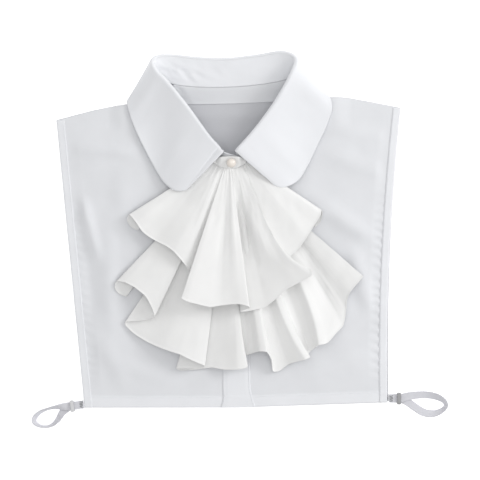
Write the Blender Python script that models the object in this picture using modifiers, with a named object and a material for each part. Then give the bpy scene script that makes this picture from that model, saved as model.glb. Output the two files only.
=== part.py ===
"""Detachable ruffled collar: a white false shirt front, laid flat on a surface.

It has a round-tipped collar on a stand, a two-tier flounced jabot under a pearl button, a back
panel under two front panels, and an elastic strap loop with a slider at each lower corner.
X runs to the viewer's right, Y up the garment and Z up from the surface that it lies on.
The sizes and tables below are in millimetres, and angles in degrees.
"""

import math

import bmesh
import bpy
import numpy as np

MM = 0.001
COLLECTION = "detachable_ruffled_collar"

# Cloth walls and the gaps between sewn pieces
SHIRT_WALL = 1.2
JABOT_WALL = 1.0
BAND_WALL = 1.0
SEAM_GAP = 0.3

# Front and back panels: outline corners (x, y) and the bow of each side edge
HEM_CORNER = {"left": (-155.2, -167.4), "right": (147.2, -162.2)}
CENTRE_HEM = (-2.0, -167.3)
CENTRE_NECK = (-7.5, 68.9)
SIDE_BOW = {"left": 0.0, "right": -4.7}
CENTRE_GAP = 0.4
BACK_INSET = 1.2
CORNER_TAB = 1.4

# Shoulder line from the shoulder tip towards the neck (x, y)
SHOULDER_LINE = {
    "left": ((-183.4, 119.8), (-148.2, 129.0), (-126.7, 133.4), (-112.0, 135.6), (-97.0, 138.6)),
    "right": ((160.7, 132.1), (122.4, 139.5), (104.0, 142.4), (88.0, 142.6), (73.0, 141.8)),
}
# Places on the ring table where the shoulder seams meet the neckline
NECK_POINT = {"left": 7.2, "right": 18.5}
BACK_NECK = (8.7, 17.2)
# Columns of the front panels as shares of their width from the side edge
PANEL_COLUMNS = (0.0, 0.055, 0.11, 0.17, 0.23, 0.29, 0.35, 0.41, 0.47, 0.53, 0.59, 0.65, 0.71, 0.77,
                 0.83, 0.885, 0.94, 1.0)
PANEL_ROWS = 19
EDGE_SAMPLES = 24
BACK_SHOULDER_COLUMNS = 6
BACK_NECK_COLUMNS = 14
BACK_NECK_GAP = 0.5
# The back's rows lie closer near the neck, and its neckline rises over these shares of its middle
BACK_ROWS = 13
BACK_ROW_POWER = 1.9
BACK_RISE = (0.1, 0.6)

# The panels lie on the back half of the collar between these lines, and drape over it
# Lift, start and end of the rise in x at the left and right, start and end of the rise in y
BACK_DRAPE = (1.8, (-119.0, -113.0), (92.0, 98.0), (112.0, 126.0))
FRONT_DRAPE = (2.6, (-132.0, -116.0), (94.0, 112.0), (102.0, 124.0))
NECK_SLOPE = 17.0

# Soft folds of the front panels: from (x, y) to (x, y), half width and height
PANEL_FOLDS = {
    "left": (
        (-160.0, 30.0, -137.0, -92.0, 9.0, 4.6),
        (-166.0, 92.0, -104.0, 88.0, 7.0, 2.2),
        (-120.0, 60.0, -104.0, -40.0, 11.0, 2.2),
        (-128.0, -120.0, -60.0, -146.0, 9.0, 1.6),
    ),
    "right": (
        (96.0, 112.0, 138.0, 104.0, 7.0, 2.0),
        (92.0, 84.0, 140.0, 66.0, 8.0, 2.4),
        (84.0, 32.0, 126.0, 4.0, 8.0, 3.6),
        (112.0, -8.0, 130.0, -70.0, 9.0, 3.0),
        (60.0, -138.0, 126.0, -112.0, 9.0, 1.6),
    ),
}
PANEL_CROWN = 0.7
# Distances from the side edge and from the centre line, and shares of the height from the hem
# and from the top, over which the folds rise. Then shares of a fold's length
SIDE_CLEAR = (11.5, 26.0)
CENTRE_CLEAR = (19.0, 34.0)
HEM_CLEAR = (0.0, 0.14)
TOP_CLEAR = (0.03, 0.16)
FOLD_ENDS = (-0.15, 0.3)

# Placket and side bands, which lie on the fronts
PLACKET_EDGES = ((-167.0, -19.3, 15.4), (-157.0, -17.0, 12.4), (-145.0, -17.6, 10.4),
                 (-110.0, -18.0, 9.8), (60.0, -21.0, 6.8))
PLACKET_ROWS = 20
SIDE_BAND = 8.0

# Facing inside the back of the neck: its first and last column, counted in the back's neckline,
# and its lower edge (x, y)
FACING_COLUMNS = (3, 12)
FACING_EDGE = ((-76.0, 135.2), (-40.0, 135.4), (-8.0, 136.0), (24.0, 137.4), (50.0, 139.0))
FACING_WALL = 1.0

# The collar ring, a row for each station round the neck from the left front end:
# seam with the panels (x, y, z), fold of the collar (x, y, z), free edge (x, y, z)
COLLAR_RING = (
    (0.0, 67.0, 4.6, -0.8, 85.2, 18.4, -46.4, 53.6, 15.5),
    (-13.0, 69.5, 5.0, -15.5, 89.5, 21.0, -52.8, 50.0, 15.0),
    (-22.0, 72.0, 4.6, -20.0, 94.5, 20.5, -57.0, 48.6, 14.3),
    (-36.0, 79.0, 4.4, -28.0, 103.0, 20.0, -66.0, 49.6, 13.0),
    (-50.0, 90.0, 4.4, -37.0, 115.0, 19.5, -77.0, 58.5, 9.5),
    (-63.0, 104.0, 4.6, -47.0, 129.0, 19.5, -86.0, 73.0, 7.5),
    (-74.0, 120.0, 5.2, -59.0, 144.5, 20.0, -95.0, 90.0, 6.6),
    (-82.0, 138.0, 6.4, -71.0, 159.0, 21.5, -104.0, 109.0, 7.0),
    (-85.0, 149.0, 6.6, -80.0, 168.0, 21.5, -110.2, 126.0, 8.0),
    (-82.0, 156.5, 6.4, -85.0, 178.0, 17.0, -112.5, 139.5, 6.2),
    (-74.0, 157.0, 5.8, -81.0, 184.5, 10.0, -105.0, 140.0, 0.0),
    (-62.0, 154.5, 5.4, -66.0, 185.5, 6.0, -88.0, 137.8, 0.0),
    (-40.0, 152.5, 5.3, -42.0, 183.0, 5.2, -50.0, 137.0, 0.0),
    (-12.0, 152.5, 5.3, -13.0, 182.2, 5.2, -12.0, 137.0, 0.0),
    (15.0, 154.5, 5.3, 17.0, 185.5, 5.2, 28.0, 137.0, 0.0),
    (36.0, 157.5, 5.4, 38.0, 188.6, 6.0, 62.0, 138.0, 0.0),
    (48.0, 160.0, 5.8, 49.5, 186.0, 10.0, 77.5, 144.0, 0.0),
    (57.0, 157.0, 6.4, 53.0, 179.0, 17.0, 86.5, 146.8, 6.2),
    (61.0, 148.0, 6.6, 49.5, 168.0, 21.5, 91.8, 133.0, 8.0),
    (59.0, 134.0, 6.4, 41.0, 151.5, 21.5, 86.5, 114.5, 7.0),
    (52.0, 118.0, 5.2, 30.5, 134.5, 20.0, 77.5, 95.0, 6.6),
    (41.0, 102.0, 4.6, 20.0, 120.0, 19.5, 68.5, 76.0, 7.5),
    (28.0, 88.0, 4.4, 10.5, 108.0, 19.5, 59.5, 61.0, 9.5),
    (14.0, 77.0, 4.4, 2.8, 99.4, 20.0, 49.5, 54.0, 13.0),
    (5.0, 73.0, 4.6, -2.6, 93.6, 20.8, 41.0, 52.2, 14.5),
    (-3.0, 71.2, 4.8, -6.0, 89.6, 19.6, 34.5, 54.0, 15.0),
)
LEAF_FIRST = 1
RING_SAMPLES = 2.5
FOLD_RADIUS = 2.6
FOLD_GAP = 0.5
STAND_ROWS = 4
ROLL_SHARES = (0.0, 0.05, 0.28, 0.52, 0.76, 1.0)
LEAF_ROWS = 6
# How fast the leaf sinks to the surface where its free edge lies lower than these heights
SETTLE = 2.5
SETTLE_HEIGHTS = (3.0, 9.0)

# Jabot: head centre, then the size and height of each tier's gathered head
JABOT_CENTRE = (-9.0, 77.0)
# Hem of each tier, a row for each turn of its folds from the left end: angle from straight down
# (to the right is more), reach from the head centre, height, sideways bow of the fold line
UPPER_HEM = (
    (-54.0, 115.0, 5.2, 0.0), (-57.5, 118.5, 6.6, 0.0), (-61.0, 118.5, 8.8, 0.0),
    (-63.0, 113.5, 11.6, 0.0), (-58.0, 111.5, 14.8, 0.0), (-51.5, 111.5, 13.6, 0.0),
    (-45.0, 108.5, 14.6, 0.0), (-38.0, 105.0, 18.9, 0.0), (-32.5, 105.0, 21.9, 0.0),
    (-27.0, 108.5, 22.0, 0.0), (-22.5, 113.0, 20.0, 0.0), (-19.5, 118.5, 17.4, 0.0),
    (-16.2, 126.0, 16.2, 0.0), (-14.4, 132.0, 17.6, 0.0), (-15.8, 137.0, 21.6, 0.0),
    (-18.6, 141.5, 26.6, 0.0), (-20.0, 143.0, 30.0, 0.0), (-17.5, 144.0, 31.0, 0.0),
    (-13.0, 144.0, 29.2, 0.0), (-8.0, 144.5, 27.8, 0.0), (-4.0, 142.0, 27.0, 0.0),
    (0.0, 140.5, 27.6, 0.0), (3.8, 140.5, 29.2, 0.0), (7.0, 143.5, 29.8, 0.0),
    (7.2, 145.5, 26.1, 0.0), (4.8, 147.0, 21.9, 0.0), (3.8, 148.0, 19.6, 0.0),
    (6.0, 148.5, 18.2, 0.0), (9.8, 148.0, 18.6, 0.0), (13.5, 147.5, 19.6, 0.0),
    (17.0, 143.5, 21.6, -2.0), (24.5, 137.0, 25.7, -6.0), (31.0, 137.0, 29.8, -10.0),
    (35.6, 137.0, 32.8, -12.0), (36.4, 131.0, 31.3, -12.0), (34.0, 124.0, 26.1, -10.0),
    (31.4, 117.0, 21.6, -8.0), (30.6, 112.5, 19.3, -6.0), (33.0, 110.0, 18.2, -4.0),
    (38.5, 108.5, 18.9, -2.0), (45.5, 105.5, 19.7, 0.0), (53.0, 103.5, 17.1, 0.0),
    (60.0, 103.0, 15.6, 0.0), (62.4, 101.5, 12.6, 0.0), (61.0, 104.5, 9.0, 0.0),
    (56.6, 107.0, 6.9, 0.0), (52.4, 105.5, 5.7, 0.0),
)
LOWER_HEM = (
    (-38.0, 169.5, 5.1, 0.0), (-40.8, 172.0, 5.9, 0.0), (-43.0, 170.0, 7.6, 0.0),
    (-44.0, 164.0, 9.6, 0.0), (-41.5, 159.0, 13.2, 0.0), (-37.5, 156.5, 15.7, 0.0),
    (-32.5, 157.5, 17.5, 0.0), (-28.5, 164.0, 19.0, 0.0), (-26.3, 170.5, 18.6, 0.0),
    (-27.2, 175.0, 14.4, 0.0), (-30.5, 183.0, 10.2, 0.0), (-33.4, 190.0, 8.2, 0.0),
    (-32.8, 193.5, 6.1, 0.0), (-29.5, 196.0, 6.4, 0.0), (-25.0, 197.0, 8.9, 0.0),
    (-20.0, 197.0, 14.6, 0.0), (-15.0, 197.0, 18.2, 0.0), (-10.5, 200.5, 17.9, 0.0),
    (-7.3, 203.5, 14.6, 0.0), (-8.3, 206.0, 11.0, 0.0), (-12.0, 209.5, 8.9, 0.0),
    (-14.8, 212.0, 7.4, 0.0), (-13.5, 213.0, 5.6, 0.0), (-9.5, 209.0, 5.6, 0.0),
    (-5.5, 205.0, 7.8, 0.0), (-2.0, 206.0, 11.8, 0.0), (2.0, 205.5, 16.1, -2.0),
    (4.6, 203.8, 15.7, -4.0), (4.6, 197.5, 11.0, -4.0), (3.6, 193.0, 8.0, -2.0),
    (4.8, 192.5, 6.6, 0.0), (6.8, 190.5, 11.0, 0.0), (8.6, 189.5, 18.6, 0.0),
    (10.8, 191.5, 19.7, 0.0), (11.7, 200.0, 13.9, 0.0), (11.5, 212.0, 7.3, 0.0),
    (13.2, 213.0, 5.6, 0.0), (15.8, 209.0, 6.0, -2.0), (18.3, 208.5, 11.8, -5.0),
    (20.6, 209.0, 17.5, -7.0), (22.2, 208.5, 15.4, -6.0), (21.9, 206.0, 9.6, -3.0),
    (22.7, 204.0, 6.7, 2.0), (24.0, 202.5, 10.7, 10.0), (25.6, 201.0, 18.6, 17.0),
    (28.2, 203.0, 16.4, 15.0), (32.0, 199.0, 12.5, 11.0), (34.6, 197.0, 9.2, 7.0),
    (36.6, 191.0, 6.7, 4.0), (38.4, 185.0, 5.9, 2.0), (40.0, 179.5, 8.4, 1.0),
    (41.4, 176.5, 11.0, 0.0), (42.8, 175.0, 13.4, 0.0), (44.5, 174.2, 14.6, 0.0),
    (47.0, 173.8, 13.0, 0.0), (49.3, 173.4, 8.9, 0.0),
)
# Tier: hem table, half width and depth of its head, rise of the head's centre, head height and its
# drop at the ends, mean height of the hem, and the power by which its folds deepen to the hem
TIERS = {
    "upper": (UPPER_HEM, 19.0, 9.0, 4.0, 13.4, 4.0, 17.0, 1.5),
    "lower": (LOWER_HEM, 17.0, 14.0, 0.0, 7.0, 0.0, 10.5, 1.95),
}
TIER_SAMPLES = 2
TIER_ROWS = 9
TURN_POWER = 3.0
# The curls at a hem's ends, counted in its rows, open out sooner towards the head
END_ROWS = (2.5, 6.0)
END_TURN = 1.2
# Makes a bow of 1 move the middle of a fold line 1 mm sideways
BOW_PEAK = 6.75
RISE_POWER = 0.9

# Head tab over the gathers: half width, middle, lower and upper edge (y, z), drop at its ends
TAB_HALF_WIDTH = 11.5
TAB_MIDDLE = -10.5
TAB_FOOT = (70.6, 14.95)
TAB_TOP = (82.6, 21.3)
TAB_END_DROP = 1.6

# Pearl button: its place on the tab (x, y)
PEARL_PLACE = (-8.6, 76.2)
PEARL_RADIUS = 4.8
PEARL_RISE = 3.8
PEARL_BACK = 1.4

# Elastic straps: webbing size, then a row for each turn of its route:
# x, y, tilt of its outer edge, height of its lower edge
STRAP_WIDTH = 8.0
STRAP_WALL = 1.1
STRAP_ROUTE = {
    "left": (
        (-156.15, -164.0, 0.0, 3.8), (-163.0, -165.0, 0.0, 4.0), (-170.0, -165.8, 4.0, 3.9),
        (-177.0, -166.2, 30.0, 3.0), (-184.0, -166.8, 62.0, 1.2), (-192.0, -168.6, 72.0, 0.2),
        (-199.0, -171.6, 66.0, 0.0), (-204.0, -176.2, 58.0, 0.0), (-205.4, -181.0, 60.0, 0.0),
        (-201.4, -184.8, 72.0, 0.0), (-194.4, -186.2, 80.0, 0.0), (-187.6, -184.6, 70.0, 0.0),
        (-182.0, -179.6, 50.0, 0.0), (-177.6, -172.6, 26.0, 0.2), (-172.2, -167.4, 4.0, 1.1),
        (-166.5, -165.6, 0.0, 1.4), (-156.15, -164.4, 0.0, 1.0),
    ),
    "right": (
        (148.9, -158.2, 0.0, 3.8), (155.0, -158.3, 0.0, 4.0), (160.0, -157.8, 0.0, 3.9),
        (167.0, -156.0, 6.0, 3.6), (176.0, -154.8, 16.0, 2.0), (186.0, -154.6, 24.0, 0.3),
        (196.0, -156.4, 34.0, 0.0), (203.6, -160.6, 56.0, 0.0), (205.4, -166.0, 66.0, 0.0),
        (200.0, -171.0, 56.0, 0.0), (192.0, -173.4, 32.0, 0.0), (183.0, -172.0, 16.0, 0.0),
        (174.0, -166.4, 6.0, 0.5), (166.0, -160.8, 0.0, 1.3), (158.0, -158.2, 0.0, 1.4),
        (148.9, -158.0, 0.0, 1.0),
    ),
}
STRAP_SAMPLES = 3

# Sliders: middle (x, y), turn about Z, outer length, width, height, bar and hole height
SLIDER_PLACE = {"left": (-167.4, -165.7, 8.0), "right": (158.6, -158.2, 0.0)}
SLIDER_LENGTH = 3.6
SLIDER_WIDTH = 11.8
SLIDER_HEIGHT = 7.2
SLIDER_BAR = 1.1

# Colours (linear) and finish of each material: colour, roughness
FINISHES = {
    "shirt_cloth": ((0.86, 0.87, 0.90), 0.85),
    "jabot_cloth": ((0.90, 0.90, 0.88), 0.80),
    "elastic": ((0.80, 0.80, 0.83), 0.75),
    "pearl": ((0.92, 0.88, 0.82), 0.25),
    "slider_plastic": ((0.55, 0.56, 0.58), 0.35),
}


def material(name):
    """Principled material in one of the named finishes."""
    found = bpy.data.materials.get(name)
    if found:
        return found
    colour, roughness = FINISHES[name]
    made = bpy.data.materials.new(name)
    made.use_nodes = True
    shader = made.node_tree.nodes["Principled BSDF"]
    shader.inputs["Base Color"].default_value = (*colour, 1.0)
    shader.inputs["Roughness"].default_value = roughness
    return made


def add_object(name, mesh, finish):
    """Object of a mesh in the part's collection, with its own material."""
    made = bpy.data.objects.new(name, mesh)
    mesh.materials.append(material(finish))
    bpy.data.collections[COLLECTION].objects.link(made)
    return made


def curve(rows, places):
    """Smooth curve through a table's rows, read at row numbers that may lie between two rows."""
    rows = np.asarray(rows, float)
    places = np.clip(np.asarray(places, float), 0.0, len(rows) - 1.0)
    start = np.minimum(places.astype(int), len(rows) - 2)
    share = (places - start)[:, None]
    padded = np.vstack([2 * rows[0] - rows[1], rows, 2 * rows[-1] - rows[-2]])
    before, here, there, after = (padded[start + step] for step in range(4))
    return 0.5 * (
        2 * here
        + (there - before) * share
        + (2 * before - 5 * here + 4 * there - after) * share ** 2
        + (3 * here - before - 3 * there + after) * share ** 3
    )


def smooth(value, low, high):
    """0 below low, 1 above high and an even S between them."""
    share = np.clip((value - low) / (high - low), 0.0, 1.0)
    return share * share * (3 - 2 * share)


def cloth(name, grid, wall, finish):
    """Sheet through a grid of points, thickened away from its outer side."""
    rows, columns = grid.shape[:2]
    index = np.arange(rows * columns).reshape(rows, columns)
    faces = np.stack([index[:-1, :-1], index[:-1, 1:], index[1:, 1:], index[1:, :-1]], axis=-1)
    mesh = bpy.data.meshes.new(name)
    mesh.from_pydata((grid.reshape(-1, 3) * MM).tolist(), [], faces.reshape(-1, 4).tolist())
    mesh.shade_smooth()
    sheet = add_object(name, mesh, finish)
    thickness = sheet.modifiers.new("Wall", "SOLIDIFY")
    thickness.thickness = wall * MM
    thickness.offset = -1.0
    return sheet


def ring_places(first, last):
    """Evenly spaced places on the ring table from one station to another."""
    return np.linspace(first, last, int(abs(last - first) * RING_SAMPLES) + 1)


def seam_line(first, last, count):
    """Points of the neckline seam between two stations of the collar ring."""
    return curve(COLLAR_RING, np.linspace(first, last, count))[:, 0:3]


def drape(x, y, shape):
    """Rise of a panel where it lies on the back half of the collar."""
    lift, left, right, upward = shape
    return lift * smooth(x, *left) * (1 - smooth(x, *right)) * smooth(y, *upward)


def front_height(x, y):
    """Height of the fronts' outer face where it has no folds."""
    return 2 * SHIRT_WALL + SEAM_GAP + drape(x, y, FRONT_DRAPE)


def fold_height(side, x, y):
    """Soft folds of a front panel, each a rounded ridge that dies out at its ends."""
    height = np.zeros_like(x)
    for x0, y0, x1, y1, width, rise in PANEL_FOLDS[side]:
        length = math.hypot(x1 - x0, y1 - y0)
        along = ((x - x0) * (x1 - x0) + (y - y0) * (y1 - y0)) / length ** 2
        off = ((x - x0) * (y1 - y0) - (y - y0) * (x1 - x0)) / length
        ends = smooth(along, *FOLD_ENDS) * smooth(1 - along, *FOLD_ENDS)
        height += rise * ends * np.exp(-(off / width) ** 2)
    return height


def front_top_edge(side, shares):
    """Top edge of a front panel, the shoulder and then the neckline, read at shares of its length."""
    last = LEAF_FIRST if side == "left" else len(COLLAR_RING) - 1
    neck = seam_line(NECK_POINT[side], last, EDGE_SAMPLES)[:, :2]
    neck[-1] = (CENTRE_NECK[0] + centre_side(side), CENTRE_NECK[1])
    rows = SHOULDER_LINE[side] + (tuple(neck[0]),)
    shoulder = curve(rows, np.linspace(0, len(rows) - 1, EDGE_SAMPLES))
    path = np.vstack([shoulder[:-1], neck])
    length = np.concatenate([[0.0], np.cumsum(np.linalg.norm(np.diff(path, axis=0), axis=1))])
    return np.stack([np.interp(shares * length[-1], length, path[:, axis]) for axis in (0, 1)], axis=1)


def centre_side(side):
    """Offset of a front's centre edge from the centre line."""
    return -CENTRE_GAP / 2 if side == "left" else CENTRE_GAP / 2


def front_surface(side, columns, rows):
    """Outer face of a front panel and the height of its plain surface."""
    across = np.asarray(columns)
    top = front_top_edge(side, across)
    corner = np.array(HEM_CORNER[side])
    centre = np.array(CENTRE_HEM) + (centre_side(side), 0.0)
    hem = corner + (centre - corner) * across[:, None]
    up = np.linspace(0.0, 1.0, rows)[:, None]
    x = hem[:, 0] + (top[:, 0] - hem[:, 0]) * up + SIDE_BOW[side] * 4 * up * (1 - up) * (1 - across)
    y = hem[:, 1] + (top[:, 1] - hem[:, 1]) * up
    inside = smooth(np.abs(x - x[:, :1]), *SIDE_CLEAR) * smooth(np.abs(x - x[:, -1:]), *CENTRE_CLEAR)
    inside = inside * smooth(up, *HEM_CLEAR) * smooth(1 - up, *TOP_CLEAR)
    z = front_height(x, y) + inside * (PANEL_CROWN + fold_height(side, x, y))
    return np.stack([x, y, z], axis=-1)


def make_front(side):
    """Front panel from its side edge to the centre line."""
    grid = front_surface(side, PANEL_COLUMNS, PANEL_ROWS)
    if side == "right":
        grid = grid[:, ::-1]
    cloth(f"front_{side}", grid, SHIRT_WALL, "shirt_cloth")


def back_surface():
    """Outer face of the back panel from its hem to the shoulders and the neck, which it rises to."""
    shoulders = [
        curve(SHOULDER_LINE[side], np.linspace(0, len(SHOULDER_LINE[side]) - 1, BACK_SHOULDER_COLUMNS))
        for side in ("left", "right")
    ]
    neck = seam_line(*BACK_NECK, BACK_NECK_COLUMNS)
    top = np.vstack([shoulders[0], neck[:, :2], shoulders[1][::-1]])
    columns = len(top)
    across = np.linspace(0.0, 1.0, columns)
    rise = np.zeros(columns)
    inward = np.sin(np.linspace(0.0, math.pi, len(neck)))
    lifted = neck[:, 2] - SHIRT_WALL - BACK_DRAPE[0]
    rise[BACK_SHOULDER_COLUMNS:-BACK_SHOULDER_COLUMNS] = lifted * smooth(inward, *BACK_RISE)
    hem_left, hem_right = (np.array(HEM_CORNER[side]) for side in ("left", "right"))
    hem = hem_left + (BACK_INSET, BACK_INSET) + (hem_right - hem_left - (2 * BACK_INSET, 0)) * across[:, None]
    hem[-1, 0] += BACK_INSET + CORNER_TAB
    top = top - (0.0, BACK_NECK_GAP)
    down = (np.linspace(1.0, 0.0, BACK_ROWS) ** BACK_ROW_POWER)[:, None]
    x = top[:, 0] + (hem[:, 0] - top[:, 0]) * down
    y = top[:, 1] + (hem[:, 1] - top[:, 1]) * down
    bow = SIDE_BOW["right"] * 4 * down * (1 - down) * across ** 3
    length = np.linalg.norm(hem - top, axis=1)
    near_neck = 1 - smooth(down * length, 0.0, NECK_SLOPE)
    z = SHIRT_WALL + drape(x, y, BACK_DRAPE) + rise * near_neck
    return np.stack([x + bow, y, z], axis=-1)


def make_facing():
    """Neck facing: the back's points below the neck seam, moved out, down to its lower edge."""
    first, last = FACING_COLUMNS
    back = back_surface()[::-1, BACK_SHOULDER_COLUMNS + first:BACK_SHOULDER_COLUMNS + last]
    edge = np.array(FACING_EDGE)
    rows = [back[0] + (back[1] - back[0]) * SEAM_GAP / 2, back[1], back[2]]
    share = (rows[-1][:, 1] - np.interp(back[2, :, 0], edge[:, 0], edge[:, 1])) / (back[2] - back[3])[:, 1]
    rows.append(back[2] + (back[3] - back[2]) * share[:, None])
    cloth("neck_facing", np.stack(rows[::-1]) + (0.0, 0.0, SEAM_GAP + FACING_WALL), FACING_WALL, "shirt_cloth")


def make_placket():
    """Button band over the centre front, flared where it meets the hem."""
    edges = np.array(PLACKET_EDGES)
    edges = curve(edges, np.linspace(0, len(edges) - 1, PLACKET_ROWS))
    across = np.linspace(0.0, 1.0, 5)
    x = edges[:, 1:2] + (edges[:, 2:3] - edges[:, 1:2]) * across
    y = np.repeat(edges[:, 0:1], len(across), axis=1)
    z = front_height(x, y) + SEAM_GAP + BAND_WALL
    cloth("placket", np.stack([x, y, z], axis=-1), BAND_WALL, "shirt_cloth")


def make_side_band(side):
    """Folded band along a front's side edge, laid on its outer face."""
    edge = front_surface(side, PANEL_COLUMNS, PANEL_ROWS)[:, 0]
    inward = 1.0 if side == "left" else -1.0
    grid = np.stack([edge + (inward * SIDE_BAND * share, 0.0, SEAM_GAP + BAND_WALL)
                     for share in (0.0, 0.5, 1.0)], axis=1)
    if side == "right":
        grid = grid[:, ::-1]
    cloth(f"side_band_{side}", grid, BAND_WALL, "shirt_cloth")


def unit(vectors):
    """Vectors scaled to length one."""
    return vectors / np.linalg.norm(vectors, axis=-1, keepdims=True)


def fold_axes(seam, fold):
    """Directions at the collar's fold: up the stand square to the fold, and out from the stand."""
    along = unit(np.gradient(fold, axis=0))
    up = fold - seam
    up = unit(up - np.sum(up * along, axis=1, keepdims=True) * along)
    return up, unit(np.cross(up, along))


def make_stand():
    """Collar stand: straight lines from the neckline seam up to the fold of the collar."""
    ring = curve(COLLAR_RING, ring_places(0, len(COLLAR_RING) - 1))
    seam, fold = ring[:, 0:3], ring[:, 3:6]
    top = fold - FOLD_RADIUS * fold_axes(seam, fold)[0]
    up = np.linspace(0.0, 1.0, STAND_ROWS)[:, None, None]
    cloth("collar_stand", seam + (top - seam) * up, SHIRT_WALL, "shirt_cloth")


def make_leaf():
    """Collar leaf: a round fold over the stand, then straight to the free edge."""
    ring = curve(COLLAR_RING, ring_places(LEAF_FIRST, len(COLLAR_RING) - 1))
    seam, fold, edge = ring[:, 0:3], ring[:, 3:6], ring[:, 6:9]
    up, out = fold_axes(seam, fold)
    start = fold - (FOLD_RADIUS - FOLD_GAP) * up
    centre = start + FOLD_RADIUS * out
    back = -np.sum((edge - centre) * out, axis=1)
    rise = np.sum((edge - centre) * up, axis=1)
    turn = np.arctan2(rise, back) % (2 * math.pi)
    turn = turn - np.arccos(FOLD_RADIUS / np.hypot(back, rise))
    rows = []
    for share in ROLL_SHARES:
        angle = (turn * share)[:, None]
        rows.append(centre + FOLD_RADIUS * (up * np.sin(angle) - out * np.cos(angle)))
    over = rows[-1]
    settle = 1 + SETTLE * (1 - smooth(edge[:, 2], *SETTLE_HEIGHTS))
    for share in np.linspace(0.0, 1.0, LEAF_ROWS)[1:]:
        row = over + (edge - over) * share
        row[:, 2] = edge[:, 2] + (over[:, 2] - edge[:, 2]) * (1 - share) ** settle
        rows.append(row)
    grid = np.stack(rows)
    grid[:, :, 2] = np.maximum(grid[:, :, 2], 0.0)
    cloth("collar_leaf", grid, SHIRT_WALL, "shirt_cloth")


def tier_surface(tier, samples, rows):
    """Outer face of a jabot tier: folds that fan out from a gathered head to the hem.

    Each column of the grid keeps its place along the hem. Near the head it lies at its even
    share of the fan, and towards the hem it swings to the angle and height of its fold.
    """
    table, half_width, depth, head_rise, head_height, drop, mean_height, deepening = TIERS[tier]
    places = np.linspace(0, len(table) - 1, (len(table) - 1) * samples + 1)
    hem = curve(table, places)
    angle, reach, height, bow = (hem[:, column] for column in range(4))
    radians = np.radians(angle)
    points = np.stack([reach * np.sin(radians), -reach * np.cos(radians), height], axis=-1)
    steps = np.linalg.norm(np.diff(points, axis=0), axis=1)
    share = np.concatenate([[0.0], np.cumsum(steps)]) / steps.sum()
    fan = angle.min() + (angle.max() - angle.min()) * share
    out = np.linspace(1.0, 0.0, rows)[:, None]
    from_end = np.minimum(places, places[-1] - places)
    turn = TURN_POWER * (1 + END_TURN * (1 - smooth(from_end, *END_ROWS)))
    swing = np.radians(fan + (angle - fan) * out ** turn)
    swing = swing + bow * BOW_PEAK * out ** 2 * (1 - out) / reach
    even = reach.mean() + (reach - reach.mean()) * out
    x = JABOT_CENTRE[0] + (half_width + (even - half_width) * out) * np.sin(swing)
    y = JABOT_CENTRE[1] + head_rise * (1 - out) - (depth + (even - depth) * out) * np.cos(swing)
    head = head_height - drop * np.sin(np.radians(fan)) ** 2
    z = head + (mean_height - head) * out ** RISE_POWER
    z = z + (height - mean_height) * out ** deepening
    return np.stack([x, y, z], axis=-1)


def tab_height(y):
    """Height of the tab's outer face, and the angle in radians at which it leans."""
    slope = (TAB_TOP[1] - TAB_FOOT[1]) / (TAB_TOP[0] - TAB_FOOT[0])
    return TAB_FOOT[1] + slope * (y - TAB_FOOT[0]), math.atan(slope)


def make_tab():
    """Tab over the head of the jabot, leaning on the stand's front, its top edge arched."""
    across = np.linspace(-1.0, 1.0, 9)
    up = np.linspace(0.0, 1.0, 5)[:, None]
    x = TAB_MIDDLE + TAB_HALF_WIDTH * across + 0 * up
    top = TAB_TOP[0] - TAB_END_DROP * across ** 2
    y = TAB_FOOT[0] + (top - TAB_FOOT[0]) * up
    cloth("jabot_tab", np.stack([x, y, tab_height(y)[0]], axis=-1), JABOT_WALL, "jabot_cloth")


def make_pearl():
    """Half-pearl button: a round dome whose flat back sits on the tab and leans with it."""
    mesh = bpy.data.meshes.new("pearl_button")
    shape = bmesh.new()
    bmesh.ops.create_uvsphere(shape, u_segments=20, v_segments=12, radius=1.0)
    for vertex in shape.verts:
        vertex.co.x *= PEARL_RADIUS * MM
        vertex.co.y *= PEARL_RADIUS * MM
        vertex.co.z = max(vertex.co.z * PEARL_RISE, -PEARL_BACK) * MM
    shape.to_mesh(mesh)
    shape.free()
    mesh.shade_smooth()
    button = add_object("pearl_button", mesh, "pearl")
    x, y = PEARL_PLACE
    height, lean = tab_height(y)
    button.location = (x * MM, y * MM, (height + (PEARL_BACK + SEAM_GAP) / math.cos(lean)) * MM)
    button.rotation_euler = (lean, 0.0, 0.0)


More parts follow.
